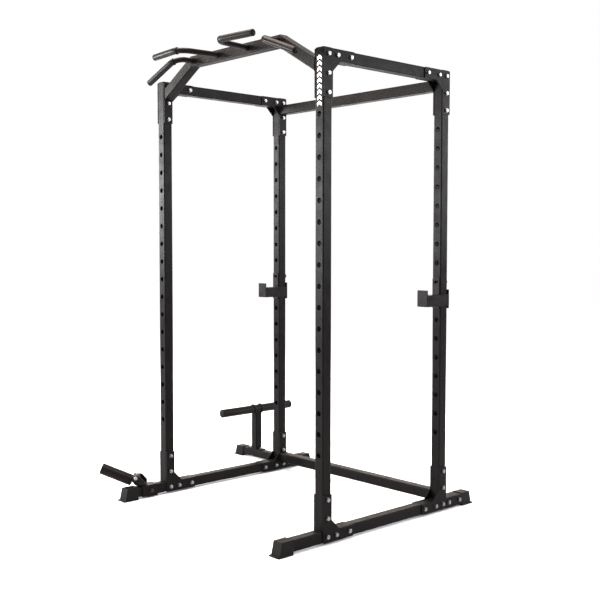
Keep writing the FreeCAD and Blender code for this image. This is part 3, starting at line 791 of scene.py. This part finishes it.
@dataclass
class Grips:
    """Vinyl sleeves and domed end caps of the four pull-up grips."""

    layout: Layout
    runs: tuple[GripRun, ...] = (
        GripRun("outer", 309.91, 95.0, 225.0, 55.0, drop=88.0),
        GripRun("inner", 108.0, 202.0, 254.0, 60.0, splay=24.0, sweep=24.0),
    )
    tube_r: float = 12.7
    sleeve_r: float = 15.0
    tip_gap: float = 1.2
    collar_r: float = 16.8
    collar_l: float = 6.0
    collar_back: float = 2.0
    cap_l: float = 10.0
    cap_skirt: float = 2.6
    cap_over: float = 0.3
    cap_back: float = 0.9
    # shares of the straight and the scale at each one's end: a faint swell at the middle, as
    # vinyl keeps when it is pulled over a tube, and a turned-in tip
    swells: tuple[tuple[float, float], ...] = (
        (0.12, 1.0), (0.26, 1.012), (0.3, 1.0), (0.3, 0.988), (0.02, 0.93)
    )

    def shapes(self, side: Side) -> list[GripShape]:
        """Work out the centre lines on one side.

        Args:
            side: left or right.

        Returns:
            The outer grip's line and the inner grip's.
        """
        place, shapes = self.layout, []
        face, z = place.front_face, place.beam_z
        for run in self.runs:
            root, bend = side.value * run.root, side.value * (run.root + run.splay)
            tip = side.value * (run.root + run.run)
            ends = (
                place.at(root, face, z),
                place.at(bend, face - run.reach, z),
                place.at(tip, face - (run.reach - run.sweep), z - run.drop),
            )
            shapes.append(GripShape(run.name, *ends, run.bend))
        return shapes

    def sleeve(self, shape: GripShape) -> Piece:
        """Model a sleeve: a ring spun round the rest of the bend, then drawn out to the tip.

        Args:
            shape: the grip's centre line.

        Returns:
            The closed sleeve with its collar.
        """
        begin, heading = shape.on_bend(shape.sleeve_from), shape.heading(shape.sleeve_from)
        clear_selection()
        bpy.ops.mesh.primitive_circle_add(
            vertices=28,
            radius=self.sleeve_r * MM,
            fill_type="NGON",
            location=begin * MM,
            rotation=heading.to_track_quat("Z", "Y").to_euler(),
        )
        made = settle(bpy.context.object)
        select_faces(made, lambda middle, normal: True)
        left = (1 - shape.sleeve_from) * shape.sweep
        bpy.ops.mesh.spin(steps=8, angle=-left, center=shape.centre * MM, axis=shape.axis)
        straight = (shape.tip - shape.on_bend(1)).length - self.tip_gap
        for share, swell in self.swells:
            draw_out(shape.run * (straight * share))
            centre = self.picked_centre(made)
            bpy.ops.transform.resize(value=(swell,) * 3, center_override=centre)
        leave_edit()
        self.close_up(made)
        back = begin - heading * self.collar_back
        collar = barrel(back, heading, self.collar_r, self.collar_l, 32)
        round_edges(collar, 1.6, 3, 50)
        return merge([made, collar])

    def picked_centre(self, piece: Piece) -> Vector:
        """Find the centre of the selected vertices, leaving the piece in edit mode.

        Args:
            piece: the mesh, in edit mode.

        Returns:
            The mean of the selected vertices, in metres.
        """
        leave_edit()
        picked = [v.co for v in piece.data.vertices if v.select]
        bpy.ops.object.mode_set(mode="EDIT")
        return sum(picked, Vector()) / len(picked)

    def close_up(self, piece: Piece) -> None:
        """Merge doubled points and turn every face outwards.

        Args:
            piece: the mesh to clean.
        """
        pick(piece)
        bpy.ops.object.mode_set(mode="EDIT")
        bpy.ops.mesh.select_all(action="SELECT")
        bpy.ops.mesh.remove_doubles(threshold=1e-5)
        bpy.ops.mesh.normals_make_consistent(inside=False)
        leave_edit()

    def end_cap(self, shape: GripShape) -> Piece:
        """Model the domed cap on a grip's tip."""
        base, radius = shape.tip - shape.run * self.cap_back, self.sleeve_r + self.cap_over
        return dome(base, shape.run, radius, self.cap_skirt, self.cap_l)

    def build(self) -> None:
        """Model every sleeve and cap."""
        caps = []
        for side in Side:
            label = side.name.lower()
            for shape in self.shapes(side):
                name, node = f"{shape.name}_sleeve_{label}", f"{shape.name}_grip_sleeve_{label}"
                dress(self.sleeve(shape), name, GRIP_VINYL, "grip_rubber", (node,))
                caps.append(self.end_cap(shape))
        nodes = ("grip_end_caps",)
        dress(merge(caps), "grip_caps", MOULDED_PLASTIC, "plastic", nodes, angle=60)


def dome(
    base: Vector, axis: Vector, radius: float, skirt: float, height: float, steps: int = 5
) -> Piece:
    """Model a cap: a short skirt that closes in a dome.

    Args:
        base: centre of its open end, in millimetres.
        axis: the way it points.
        radius: its radius.
        skirt: height of its straight part.
        height: height over skirt and dome.
        steps: rings in the dome.

    Returns:
        The closed cap.
    """
    heading = axis.normalized()
    made = barrel(base, heading, radius, skirt, 32)
    select_faces(made, facing(heading))
    spot, last, level = base + heading * skirt, 1.0, 0.0
    for step in range(1, steps + 1):
        # the last ring stops a third of a step short of the pole
        angle = math.pi / 2 * step / (steps + 0.35)
        rise = heading * (height - skirt) * (math.sin(angle) - level)
        draw_out(rise)
        spot = spot + rise
        bpy.ops.transform.resize(value=(math.cos(angle) / last,) * 3, center_override=spot * MM)
        last, level = math.cos(angle), math.sin(angle)
    leave_edit()
    return made


# -------- plastic feet
@dataclass
class FootCap:
    """Moulded foot over the end of a floor tube: a spread flange and a raked, hollow body."""

    width: float = 50.0
    lift: float = 10.0
    spread: float = 8.0
    wall: float = 3.0
    back: float = 60.0
    heel: float = 3.0
    nose: float = 26.0
    corner: float = 4.0
    rake: float = 12.0
    sole: float = 6.0
    body_z: float = 0.8
    lip_l: float = 3.2
    lip_back: float = 0.6
    lip_side: float = 0.8
    lip_top: float = 0.7
    lip_rise: float = 3.0

    def model(self) -> Piece:
        """Model the foot for a tube that ends on the origin and runs back along -X.

        Returns:
            The foot's mesh.
        """
        half, top = self.width / 2, self.lift + self.width + self.wall
        low = Vector((self.heel - self.back, -half - self.spread, 0))
        flange = block(low, Vector((self.nose, half + self.spread, self.sole)))
        select_edges(flange, lambda a, b: abs(a.z - b.z) > MM)
        bpy.ops.mesh.bevel(offset=self.corner * MM, segments=3)
        round_edges(flange, 1.6, 3, 50)
        side = half + self.spread - self.wall
        low = Vector((-self.back, -side, self.body_z))
        body = block(low, Vector((self.wall + self.rake, side, top)))
        for vertex in body.data.vertices:
            if vertex.co.z > top / 2 * MM:
                vertex.co.y = math.copysign((half + self.wall) * MM, vertex.co.y)
                if vertex.co.x > 0:
                    vertex.co.x = self.wall * MM
        round_edges(body, 2.2, 3)
        side = half + self.wall + self.lip_side
        lip = block(
            Vector((-self.back - self.lip_back, -side, self.lift + self.lip_rise)),
            Vector((-self.back + self.lip_l, side, top + self.lip_top)),
        )
        round_edges(lip, 0.8, 2)
        return merge([flange, body, lip])


@dataclass
class Feet:
    """The five plastic feet."""

    layout: Layout
    inset: float = 26.0
    narrow: float = 45.0

    def build(self) -> None:
        """Model the feet and turn each to its tube's end."""
        wide, narrow = FootCap().model(), FootCap(width=self.narrow).model()
        for side in Side:
            for end in End:
                label = f"{end.name.lower()}_{side.name.lower()}"
                low, high = box_mm(f"foot_cap_{label}")
                tip = low.y + self.inset if end is End.FRONT else high.y - self.inset
                spot = Vector(((low.x + high.x) / 2, tip, 0))
                self.place(wide, spot, end.value * 90.0, f"foot_{label}", f"foot_cap_{label}")
        low, high = box_mm("plate_post_foot_cap")
        spot = Vector((low.x + self.inset, (low.y + high.y) / 2, 0))
        self.place(narrow, spot, 180.0, "foot_plate_post", "plate_post_foot_cap")
        bpy.data.objects.remove(wide)
        bpy.data.objects.remove(narrow)

    def place(
        self, pattern: Piece, spot: Vector, heading: float, name: str, node: str
    ) -> None:
        """Set one copy of a foot.

        Args:
            pattern: the foot to copy.
            spot: end of its tube, on the floor, in millimetres.
            heading: the way that the tube's end faces, in degrees about +Z.
            name: the copy's name.
            node: the frame's node that it stands for.
        """
        turn = Matrix.Rotation(math.radians(heading), 4, "Z")
        foot = copy_to(pattern, move_to(spot) @ turn)
        dress(foot, name, MOULDED_PLASTIC, "plastic", (node,))


# -------- welds
@dataclass
class Welds:
    """Weld seams, each a bead of overlapping ripples laid along a line."""

    layout: Layout
    rng: random.Random = field(default_factory=lambda: random.Random(11))
    ripple: float = 2.4
    valley: float = 0.8
    trim: float = 0.86
    sunk: float = 1.0
    post_foot: float = 61.0
    frame_leg: float = 3.0
    bend_leg: float = 2.2
    post_leg: float = 2.6
    round_leg: float = 2.4
    leg_slope: float = 30.0

    def bead(self, corners: Sequence[Vector], closed: bool, leg: float) -> Piece:
        """Lay a bead along straight runs.

        Args:
            corners: the line's corners, in millimetres.
            closed: whether it returns to its start.
            leg: radius of the bead.

        Returns:
            The bead as a mesh.
        """
        stops = []
        for start, stop in zip(corners, [*corners[1:], *(corners[:1] if closed else [])]):
            count = max(2, round((stop - start).length / self.ripple))
            stops += [start.lerp(stop, i / count) for i in range(count)]
        if not closed:
            stops.append(corners[-1])
        curve = bpy.data.curves.new("bead", "CURVE")
        curve.dimensions = "3D"
        curve.bevel_depth = leg * MM
        curve.bevel_resolution = 1
        curve.use_fill_caps = True
        line = curve.splines.new("POLY")
        line.points.add(len(stops) - 1)
        for index, stop in enumerate(stops):
            line.points[index].co = (*(stop * MM), 1.0)
            height = 1.0 if index % 2 else self.valley
            line.points[index].radius = height * self.rng.uniform(0.92, 1.06)
        line.use_cyclic_u = closed
        holder = bpy.data.objects.new("bead", curve)
        bpy.context.collection.objects.link(holder)
        pick(holder)
        bpy.ops.object.convert(target="MESH")
        return bpy.context.object

    def square(self, centre: Vector, across: Vector, up: Vector, leg: float) -> Piece:
        """Lay a bead round a rectangular section.

        Args:
            centre: middle of the section.
            across: half of its width, as a vector.
            up: half of its height, as a vector.
            leg: radius of the bead.

        Returns:
            The bead.
        """
        t = self.trim
        turns = [(t, 1), (1, t), (1, -t), (t, -1), (-t, -1), (-1, -t), (-1, t), (-t, 1)]
        return self.bead([centre + across * a + up * b for a, b in turns], True, leg)

    def ring(self, centre: Vector, axis: Vector, radius: float, leg: float) -> Piece:
        """Lay a bead round a round section.

        Args:
            centre: middle of the section.
            axis: direction of the round piece.
            radius: radius of the bead's line.
            leg: radius of the bead.

        Returns:
            The bead.
        """
        turn, count = turn_to(axis).to_3x3(), 20
        angles = (math.tau * i / count for i in range(count))
        spots = [
            centre + turn @ Vector((math.cos(a), math.sin(a), 0)) * radius for a in angles
        ]
        return self.bead(spots, True, leg)

    def build(self, grips: Grips) -> None:
        """Lay every seam of the frame.

        Args:
            grips: the grips, for where they leave the beam.
        """
        place, tube, slope = self.layout, self.layout.tube / 2, math.radians(self.leg_slope)
        seams, inner, lean = [], self.layout.plate_in, math.cos(slope / 2)
        bend_in, mitred = (place.beam_z - place.leg_z) / math.tan(slope), tube - 1.2
        for side in Side:
            sign = side.value
            spot = place.at(sign * (inner - self.sunk), -place.half_d, place.leg_z)
            up = Z * (tube / math.cos(slope))
            seams.append(self.square(spot, Y * tube, up, self.frame_leg))
            bend = place.at(sign * (inner - bend_in), -place.half_d, place.beam_z)
            mitre = Vector((sign * math.sin(slope / 2), 0, lean)) * (mitred / lean)
            seams.append(self.square(bend, Y * mitred, mitre, self.bend_leg))
            for z in place.cross_zs:
                spot = place.at(sign * (inner - self.sunk), place.half_d, z)
                seams.append(self.square(spot, Y * tube, Z * tube, self.frame_leg))
            for shape in grips.shapes(side):
                arm, radius = (shape.corner - shape.root).normalized(), grips.tube_r + 0.6
                seams.append(self.ring(shape.root, arm, radius, self.round_leg))
        low, high = box_mm("plate_post_base")
        middle, half = (low + high) / 2, (high.z - low.z) / 2
        spot = Vector((high.x - 0.8, middle.y, middle.z))
        seams.append(self.square(spot, Y * half, Z * half, self.post_leg))
        low, high = box_mm("plate_post")
        middle = (low + high) / 2
        spot = Vector((middle.x, middle.y, self.post_foot))
        seams.append(self.square(spot, X * half, Y * half, self.post_leg))
        peg_low, peg_high = box_mm("plate_peg_bar")
        peg_r = (peg_high.x - peg_low.x) / 2
        drop = math.sqrt(max(peg_r ** 2 - half ** 2, 0)) + self.sunk
        z = (peg_low.z + peg_high.z) / 2 - drop
        for sign in (-1, 1):
            x = middle.x + sign * half
            ends = [Vector((x, middle.y + way * (half - 2), z)) for way in (-1, 1)]
            seams.append(self.bead(ends, False, self.round_leg))
        dress(merge(seams), "frame_welds", POWDER_COAT, "frame_paint", angle=60)


# -------- hooks
@dataclass
class JHooks:
    """Two plate hooks on pins: back plate, bar rest, lip, side plate and rear flange."""

    layout: Layout
    plate: float = 6.0
    gap: float = 0.5
    cup: float = 92.5
    lip: float = 23.0
    rest: float = 60.0
    width: float = 60.5
    back_half: float = 20.0
    back_above: float = 19.0
    back_below: float = 126.0
    side_below: float = 55.0
    rear_w: float = 30.0
    rear_above: float = 24.0
    corner: float = 3.0
    back_corner: float = 5.0
    tuck: float = 1.0
    flush: float = 0.2
    pin_r: float = 11.92
    pin_z: float = 1104.0
    pin_out: float = 18.0
    pin_nose: float = 2.2
    pin_wall: float = 2.6
    pin_bore: float = 32.0
    seam_leg: float = 2.2
    pin_leg: float = 1.8

    @property
    def front(self) -> float:
        """Back face of the back plate, from the cage's centre."""
        return self.layout.half_d - self.layout.tube / 2 - self.gap

    def plate_between(
        self, low: Vector, high: Vector, corner: float, thin: Vector
    ) -> Piece:
        """Cut a plate and round its corners and edges.

        Args:
            low: lowest corner.
            high: highest corner.
            corner: radius of its four corners.
            thin: the direction of its thickness.

        Returns:
            The plate.
        """
        made = block(low, high)
        if corner:
            select_edges(made, lambda a, b: abs((a - b).normalized().dot(thin)) > 0.9)
            bpy.ops.mesh.bevel(offset=corner * MM, segments=4)
        round_edges(made, 0.7, 2, 50)
        return made

    def bracket(self, x: float) -> Piece:
        """Model one welded bracket.

        Args:
            x: its upright's centre, about the cage's centre.

        Returns:
            The bracket.
        """
        at, tube, t = self.layout.at, self.layout.tube / 2, self.plate
        front, rear = self.front, self.layout.half_d + tube + self.gap
        rest, low = self.pin_z - self.rest, self.pin_z - self.back_below
        side_in = x + tube + self.gap
        side_out = side_in + t
        lip_y, side_low = front - t - self.cup, rest - self.side_below
        inner, skin = side_out - self.width, side_out - self.flush
        cuts = (
            (at(inner, lip_y - t + self.tuck, rest - t),
             at(side_out - self.tuck, front - t + self.tuck, rest), 0, Z),
            (at(inner, lip_y - t, side_low), at(skin, lip_y, rest + self.lip), self.corner, Y),
            (at(side_in, lip_y - self.tuck, side_low), at(side_out, rear + t, rest), 0, X),
            (at(side_out - self.rear_w, rear, low),
             at(skin, rear + t, rest + self.rear_above), self.corner, Y),
        )
        plates = [self.plate_between(*cut) for cut in cuts]
        return merge([self.back_plate(x, low), *plates])

    def back_plate(self, x: float, low: float) -> Piece:
        """Model the plate that lies against the upright, bored for the pin.

        Args:
            x: the upright's centre, about the cage's centre.
            low: height of its lower end.

        Returns:
            The bored plate.
        """
        at, face = self.layout.at, self.front - self.plate
        high = at(x + self.back_half, self.front, self.pin_z + self.back_above)
        plate = self.plate_between(at(x - self.back_half, face, low), high, self.back_corner, Y)
        drill = barrel(at(x, face - 5, self.pin_z), Y, self.pin_r + 0.1, 16, 40)
        pick(plate)
        cut = plate.modifiers.new("pin hole", "BOOLEAN")
        cut.object, cut.operation, cut.solver = drill, "DIFFERENCE", "EXACT"
        bpy.ops.object.modifier_apply(modifier=cut.name)
        bpy.data.objects.remove(drill)
        return plate

    def pin(self, x: float) -> Piece:
        """Model one pin, its nose turned to a cone and its front end bored out.

        Args:
            x: its upright's centre, about the cage's centre.

        Returns:
            The pin.
        """
        start = self.front - self.plate
        length = self.layout.half_d + self.layout.tube / 2 + self.pin_out - start
        made = barrel(self.layout.at(x, start, self.pin_z), Y, self.pin_r, length, 40)
        select_faces(made, facing(Y))
        bpy.ops.mesh.bevel(offset=self.pin_nose * MM, segments=2)
        leave_edit()
        select_faces(made, facing(-Y))
        bpy.ops.mesh.inset(thickness=self.pin_wall * MM)
        draw_out(Y * self.pin_bore)
        leave_edit()
        round_edges(made, 0.5, 2, 60)
        return made

    def seams(self, x: float, welds: Welds) -> Piece:
        """Lay the bracket's weld seams.

        Args:
            x: its upright's centre, about the cage's centre.
            welds: lays the beads.

        Returns:
            The beads as one mesh.
        """
        at, rest = self.layout.at, self.pin_z - self.rest
        back, lip_y = self.front - self.plate, self.front - self.plate - self.cup
        over, under = rest + 0.4, rest - self.plate - 0.6
        at_back, at_lip, side = self.back_half - 1, 28.0, x + 24.5
        ends = (
            (at(x - at_back, back, over), at(x + at_back, back, over)),
            (at(x - at_lip, lip_y, over), at(x + at_lip, lip_y, over)),
            (at(side, lip_y + 2, under), at(side, back - 2, under)),
        )
        beads = [welds.bead(line, False, self.seam_leg) for line in ends]
        head = at(x, back - self.flush, self.pin_z)
        beads.append(welds.ring(head, Y, self.pin_r + 0.8, self.pin_leg))
        return merge(beads)

    def build(self, welds: Welds) -> None:
        """Model both hooks.

        Args:
            welds: lays their seams.
        """
        for side, body in ((Side.LEFT, Body.HOOK_LEFT), (Side.RIGHT, Body.HOOK_RIGHT)):
            label, x, slot = side.name.lower(), side.value * self.layout.half_w, "frame_paint"
            name, node = f"hook_bracket_{label}", f"hook_{label}"
            dress(self.bracket(x), name, ROUND_COAT, slot, (node,), body)
            name, node = f"pin_{label}", f"hook_pin_{label}"
            dress(self.pin(x), name, BLACK_OXIDE, "peg_steel", (node,), body)
            beads = self.seams(x, welds)
            dress(beads, f"hook_welds_{label}", ROUND_COAT, slot, (), body, 60)


# -------- plate storage
@dataclass
class PlatePeg:
    """Collars and end caps of the plate storage bar."""

    collar_r: float = 30.0
    collar_t: float = 8.0
    post: float = 45.0
    reach: float = 258.0
    cap: float = 8.0
    cap_back: float = 1.5
    cap_skirt: float = 3.5
    fit: float = 0.4

    def build(self) -> None:
        """Model the collars and the rounded end caps."""
        low, high = box_mm("plate_peg_bar")
        middle, radius = (low + high) / 2, (high.x - low.x) / 2
        collars, caps = [], []
        for end in End:
            out = Y * end.value
            collar = barrel(middle + out * (self.post / 2), out, self.collar_r, self.collar_t, 40)
            select_faces(collar, facing(Y, both=True))
            bpy.ops.mesh.inset(thickness=(self.collar_r - radius - self.fit) * MM)
            leave_edit()
            round_edges(collar, 1.8, 3, 50)
            collars.append(collar)
            base, height = middle + out * (self.reach - self.cap_back), self.cap + self.cap_back
            caps.append(dome(base, out, radius + self.fit, self.cap_skirt, height, 6))
        dress(merge(collars), "peg_collars", ROUND_COAT, "frame_paint", ("plate_peg_collars",))
        nodes = ("plate_peg_end_caps",)
        dress(merge(caps), "peg_caps", MOULDED_PLASTIC, "plastic", nodes, angle=60)


# -------- landmine
@dataclass
class Landmine:
    """Socket sleeve, tilt bolt and swivel bolt on the left front foot."""

    layout: Layout
    fasteners: Fasteners
    yaw: float = 45.0
    tilt: float = 21.0
    tilt_s: float = 28.0
    tilt_z: float = 104.3
    back: float = 15.5
    drop: float = 26.6
    length: float = 168.0
    outside: float = 28.5
    bore: float = 26.0
    closed: float = 10.0
    yoke_half: float = 34.0
    cheek: float = 5.0
    cheek_gap: float = 0.3
    barrel_r: float = 14.0
    lug_half: tuple[float, float] = (7.0, 14.0)
    foot_clear: float = 64.0
    swivel_r: float = 8.0

    @property
    def pivot(self) -> Vector:
        """Middle of the tilt bolt, from the swivel axis, with the yoke straight ahead."""
        return Vector((0, -self.tilt_s, self.tilt_z))

    def turned(self, piece: Piece) -> Piece:
        """Turn a piece that was modelled pointing along -Y to the swivel's rest heading.

        Args:
            piece: the mesh to turn.

        Returns:
            The same mesh.
        """
        spot = self.layout.at(-self.layout.half_w, self.layout.swivel_y, 0)
        piece.data.transform(move_to(spot) @ Matrix.Rotation(math.radians(-self.yaw), 4, "Z"))
        return piece

    def sleeve(self) -> Piece:
        """Model the socket: a bored sleeve with a rolled mouth, a lug and a cross barrel.

        Returns:
            The socket, at its rest heading and slope.
        """
        slope, pivot = math.radians(self.tilt), self.pivot
        along = Vector((0, -math.cos(slope), math.sin(slope)))
        below = Vector((0, -math.sin(slope), -math.cos(slope)))
        start = pivot + along * self.back + below * self.drop
        tube = barrel(start, along, self.outside, self.length, 56)
        select_faces(tube, facing(along))
        bpy.ops.mesh.inset(thickness=(self.outside - self.bore) * MM)
        draw_out(along * (self.closed - self.length))
        bpy.ops.mesh.select_all(action="SELECT")
        floor = (0, 0, self.foot_clear * MM)
        bpy.ops.mesh.bisect(plane_co=floor, plane_no=(0, 0, -1), use_fill=True, clear_outer=True)
        leave_edit()
        round_edges(tube, 0.8, 2, 50)
        half = self.yoke_half - self.cheek - self.cheek_gap
        cross = barrel(pivot - X * half, X, self.barrel_r, 2 * half, 40)
        round_edges(cross, 1.0, 2, 50)
        reach = start + along * (self.closed / 2) - pivot
        wide, deep = self.lug_half
        lug = block(Vector((-wide, -deep, 0)), Vector((wide, deep, reach.length)))
        round_edges(lug, 1.0, 2, 50)
        lug.data.transform(move_to(pivot) @ turn_to(reach))
        return self.turned(merge([tube, cross, lug]))

    def bolt(self, under: Vector, axis: Vector, spin: float, shank: Piece) -> Piece:
        """Set a bolt's head on its shank.

        Args:
            under: middle of the head's underside, in millimetres.
            axis: the way the head faces.
            spin: turn of the head about that axis, in radians.
            shank: the shank, already in its place.

        Returns:
            The bolt.
        """
        head = self.fasteners.model_bolt()
        head.data.transform(move_to(under) @ turn_to(axis, spin))
        return merge([head, shank])

    def build(self) -> None:
        """Model the socket and its two bolts."""
        nodes = ("landmine_sleeve",)
        dress(self.sleeve(), "socket_sleeve", ROUND_COAT, "frame_paint", nodes, Body.SOCKET)
        under = self.pivot + X * self.yoke_half
        shank = barrel(under, -X, self.fasteners.shank / 2, 2 * self.yoke_half, 24)
        round_edges(shank, 0.6, 1, 50)
        tilt = self.turned(self.bolt(under, X, 0.3, shank))
        nodes = ("landmine_tilt_bolt",)
        dress(tilt, "tilt_bolt", ZINC_PLATE, "zinc", nodes, Body.SWIVEL)
        low, high = box_mm("landmine_swivel_bolt")
        middle = (low + high) / 2
        under = Vector((middle.x, middle.y, high.z - self.fasteners.head))
        foot = Vector((middle.x, middle.y, low.z))
        shank = barrel(foot, Z, self.swivel_r, under.z - low.z, 28)
        round_edges(shank, 0.5, 1, 50)
        swivel = self.bolt(under, Z, 0.5, shank)
        dress(swivel, "swivel_bolt", ZINC_PLATE, "zinc", ("landmine_swivel_bolt",))


# -------- decal
@dataclass
class Decal:
    """Vinyl strip of plain chevrons at the top of the front right upright, without lettering."""

    layout: Layout
    low_z: float = 1856.0
    high_z: float = 2078.0
    width: float = 25.0
    point: float = 9.0
    film: float = 0.25
    count: int = 9
    filled: float = 0.56

    def build(self) -> None:
        """Cut the chevrons and lay them on the upright's front face."""
        pitch = (self.high_z - self.low_z - self.point) / self.count
        x, y = self.layout.half_w - self.width / 2, self.layout.front_face - self.film
        bars = []
        for index in range(self.count):
            low = self.layout.at(x, y, self.low_z + index * pitch)
            bar = block(low, low + Vector((self.width, self.film, pitch * self.filled)))
            middle = (low.x + self.width / 2) * MM
            pick(bar)
            bpy.ops.object.mode_set(mode="EDIT")
            bpy.ops.mesh.select_all(action="SELECT")
            bpy.ops.mesh.bisect(plane_co=(middle, 0, 0), plane_no=(1, 0, 0))
            leave_edit()
            for vertex in bar.data.vertices:
                if abs(vertex.co.x - middle) < 0.1 * MM:
                    vertex.co.z += self.point * MM
            bars.append(bar)
        dress(merge(bars), "plain_decal", DECAL_FILM, "plastic")


# -------- studio
@dataclass(frozen=True)
class Softbox:
    """A rectangular light. Its place and aim are metres from the cage's heart."""

    name: str
    place: tuple[float, float, float]
    size: tuple[float, float]
    watts: float
    tint: str = "#ffffff"
    aim: tuple[float, float, float] = (0.0, 0.0, 0.0)

    def hang(self, heart: Vector) -> None:
        """Hang the light, out of the camera's sight.

        Args:
            heart: the point that place and aim start from, in metres.
        """
        lamp = bpy.data.lights.new(self.name, "AREA")
        lamp.color = linear(self.tint)[:3]
        lamp.shape = "RECTANGLE"
        lamp.size, lamp.size_y = self.size
        lamp.energy = self.watts
        stand = bpy.data.objects.new(self.name, lamp)
        stand.location = heart + Vector(self.place)
        way = heart + Vector(self.aim) - stand.location
        stand.rotation_euler = way.to_track_quat("-Z", "Y").to_euler()
        stand.visible_camera = False
        bpy.context.collection.objects.link(stand)


WARM = "#ffe9d8"
SOFTBOXES = (
    Softbox("strip_left", (-4.05, -2.4, 0.65), (1.3, 1.3), 260.0, aim=(-0.5, -0.3, 0.5)),
    Softbox("bank_front_left", (-3.2, -4.3, 0.75), (1.8, 1.5), 300.0),
    Softbox("panel_front", (-2.9, -3.4, -0.1), (0.8, 0.9), 80.0),
    Softbox("panel_top", (-3.6, -2.9, 1.85), (1.2, 0.5), 50.0, WARM),
    Softbox("bank_right_rear", (4.0, 2.9, 0.9), (3.4, 1.6), 270.0),
    Softbox("bank_behind", (0.4, 5.2, 0.7), (3.0, 1.6), 190.0),
    Softbox("bank_outside", (-5.4, 0.8, 0.7), (3.0, 1.6), 130.0),
    Softbox("overhead", (-0.4, -1.0, 3.3), (3.4, 2.6), 430.0, WARM, (0.0, 0.0, -0.3)),
    Softbox("bank_rear_left", (-4.4, 4.4, 0.65), (6.0, 1.2), 60.0, WARM, (0.0, 0.0, -1.3)),
)


@dataclass
class Studio:
    """Plain floor, soft lights and the camera. Its own sizes are metres but for the camera's."""

    camera_mm: Vector = field(default_factory=lambda: Vector((3481.7, -3156.7, 1269.7)))
    yaw: float = 47.15
    pitch: float = 2.99
    roll: float = 0.08
    lens: float = 57.0
    shift: tuple[float, float] = (-0.01498, -0.00577)
    heart_z: float = 1.3
    floor_r: float = 60.0
    floor_z: float = -0.0006
    sky_strength: float = 1.0
    sun_strength: float = 1.5
    sun_spread: float = 110.0
    sun_tint: str = "#fff2e6"

    def plain_floor(self) -> None:
        """Lay a large plain disc for the floor."""
        clear_selection()
        bpy.ops.mesh.primitive_circle_add(
            vertices=96, radius=self.floor_r, fill_type="NGON", location=(0, 0, self.floor_z)
        )
        floor = settle(bpy.context.object)
        floor.name = floor.data.name = "studio_floor"
        floor.data.materials.append(SHELF.take(BACKDROP_PAPER))

    def room(self) -> None:
        """Fill the room with even light, from all round and from a broad white ceiling."""
        world = bpy.data.worlds.new("studio_room")
        bpy.context.scene.world = world
        world.use_nodes = True
        fill = world.node_tree.nodes["Background"]
        fill.inputs["Color"].default_value = linear("#ffffff")
        fill.inputs["Strength"].default_value = self.sky_strength
        lamp = bpy.data.lights.new("ceiling", "SUN")
        lamp.energy, lamp.angle = self.sun_strength, math.radians(self.sun_spread)
        lamp.color = linear(self.sun_tint)[:3]
        bpy.context.collection.objects.link(bpy.data.objects.new("ceiling", lamp))

    def camera(self, layout: Layout) -> None:
        """Stand the camera where the product is seen from the front right.

        Args:
            layout: says where the cage stands.
        """
        eye = bpy.data.cameras.new("product_camera")
        eye.lens, eye.sensor_width = self.lens, 36.0
        eye.shift_x, eye.shift_y = self.shift
        eye.clip_start, eye.clip_end = 0.1, 200.0
        stand = bpy.data.objects.new("product_camera", eye)
        turn = Matrix.Rotation(math.radians(self.yaw), 4, "Z")
        turn @= Matrix.Rotation(math.radians(90 - self.pitch), 4, "X")
        turn @= Matrix.Rotation(math.radians(self.roll), 4, "Z")
        stand.matrix_world = move_to(layout.centre + self.camera_mm) @ turn
        bpy.context.collection.objects.link(stand)
        bpy.context.scene.camera = stand

    def build(self, layout: Layout) -> None:
        """Set up floor, light and camera.

        Args:
            layout: says where the cage stands.
        """
        self.plain_floor()
        for softbox in SOFTBOXES:
            softbox.hang(layout.centre * MM + Z * self.heart_z)
        self.room()
        self.camera(layout)
        bpy.context.scene.view_settings.view_transform = "Standard"


def main() -> None:
    """Build every sub-assembly."""
    logging.basicConfig(level=logging.INFO, format="%(name)s: %(message)s")
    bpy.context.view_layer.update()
    layout = Layout()
    SteelFrame().finish_nodes()
    fasteners, grips, welds = Fasteners(layout), Grips(layout), Welds(layout)
    fasteners.build()
    grips.build()
    Feet(layout).build()
    welds.build(grips)
    JHooks(layout).build(welds)
    PlatePeg().build()
    Landmine(layout, fasteners).build()
    Decal(layout).build()
    Studio().build(layout)


if __name__ == "__main__":
    main()
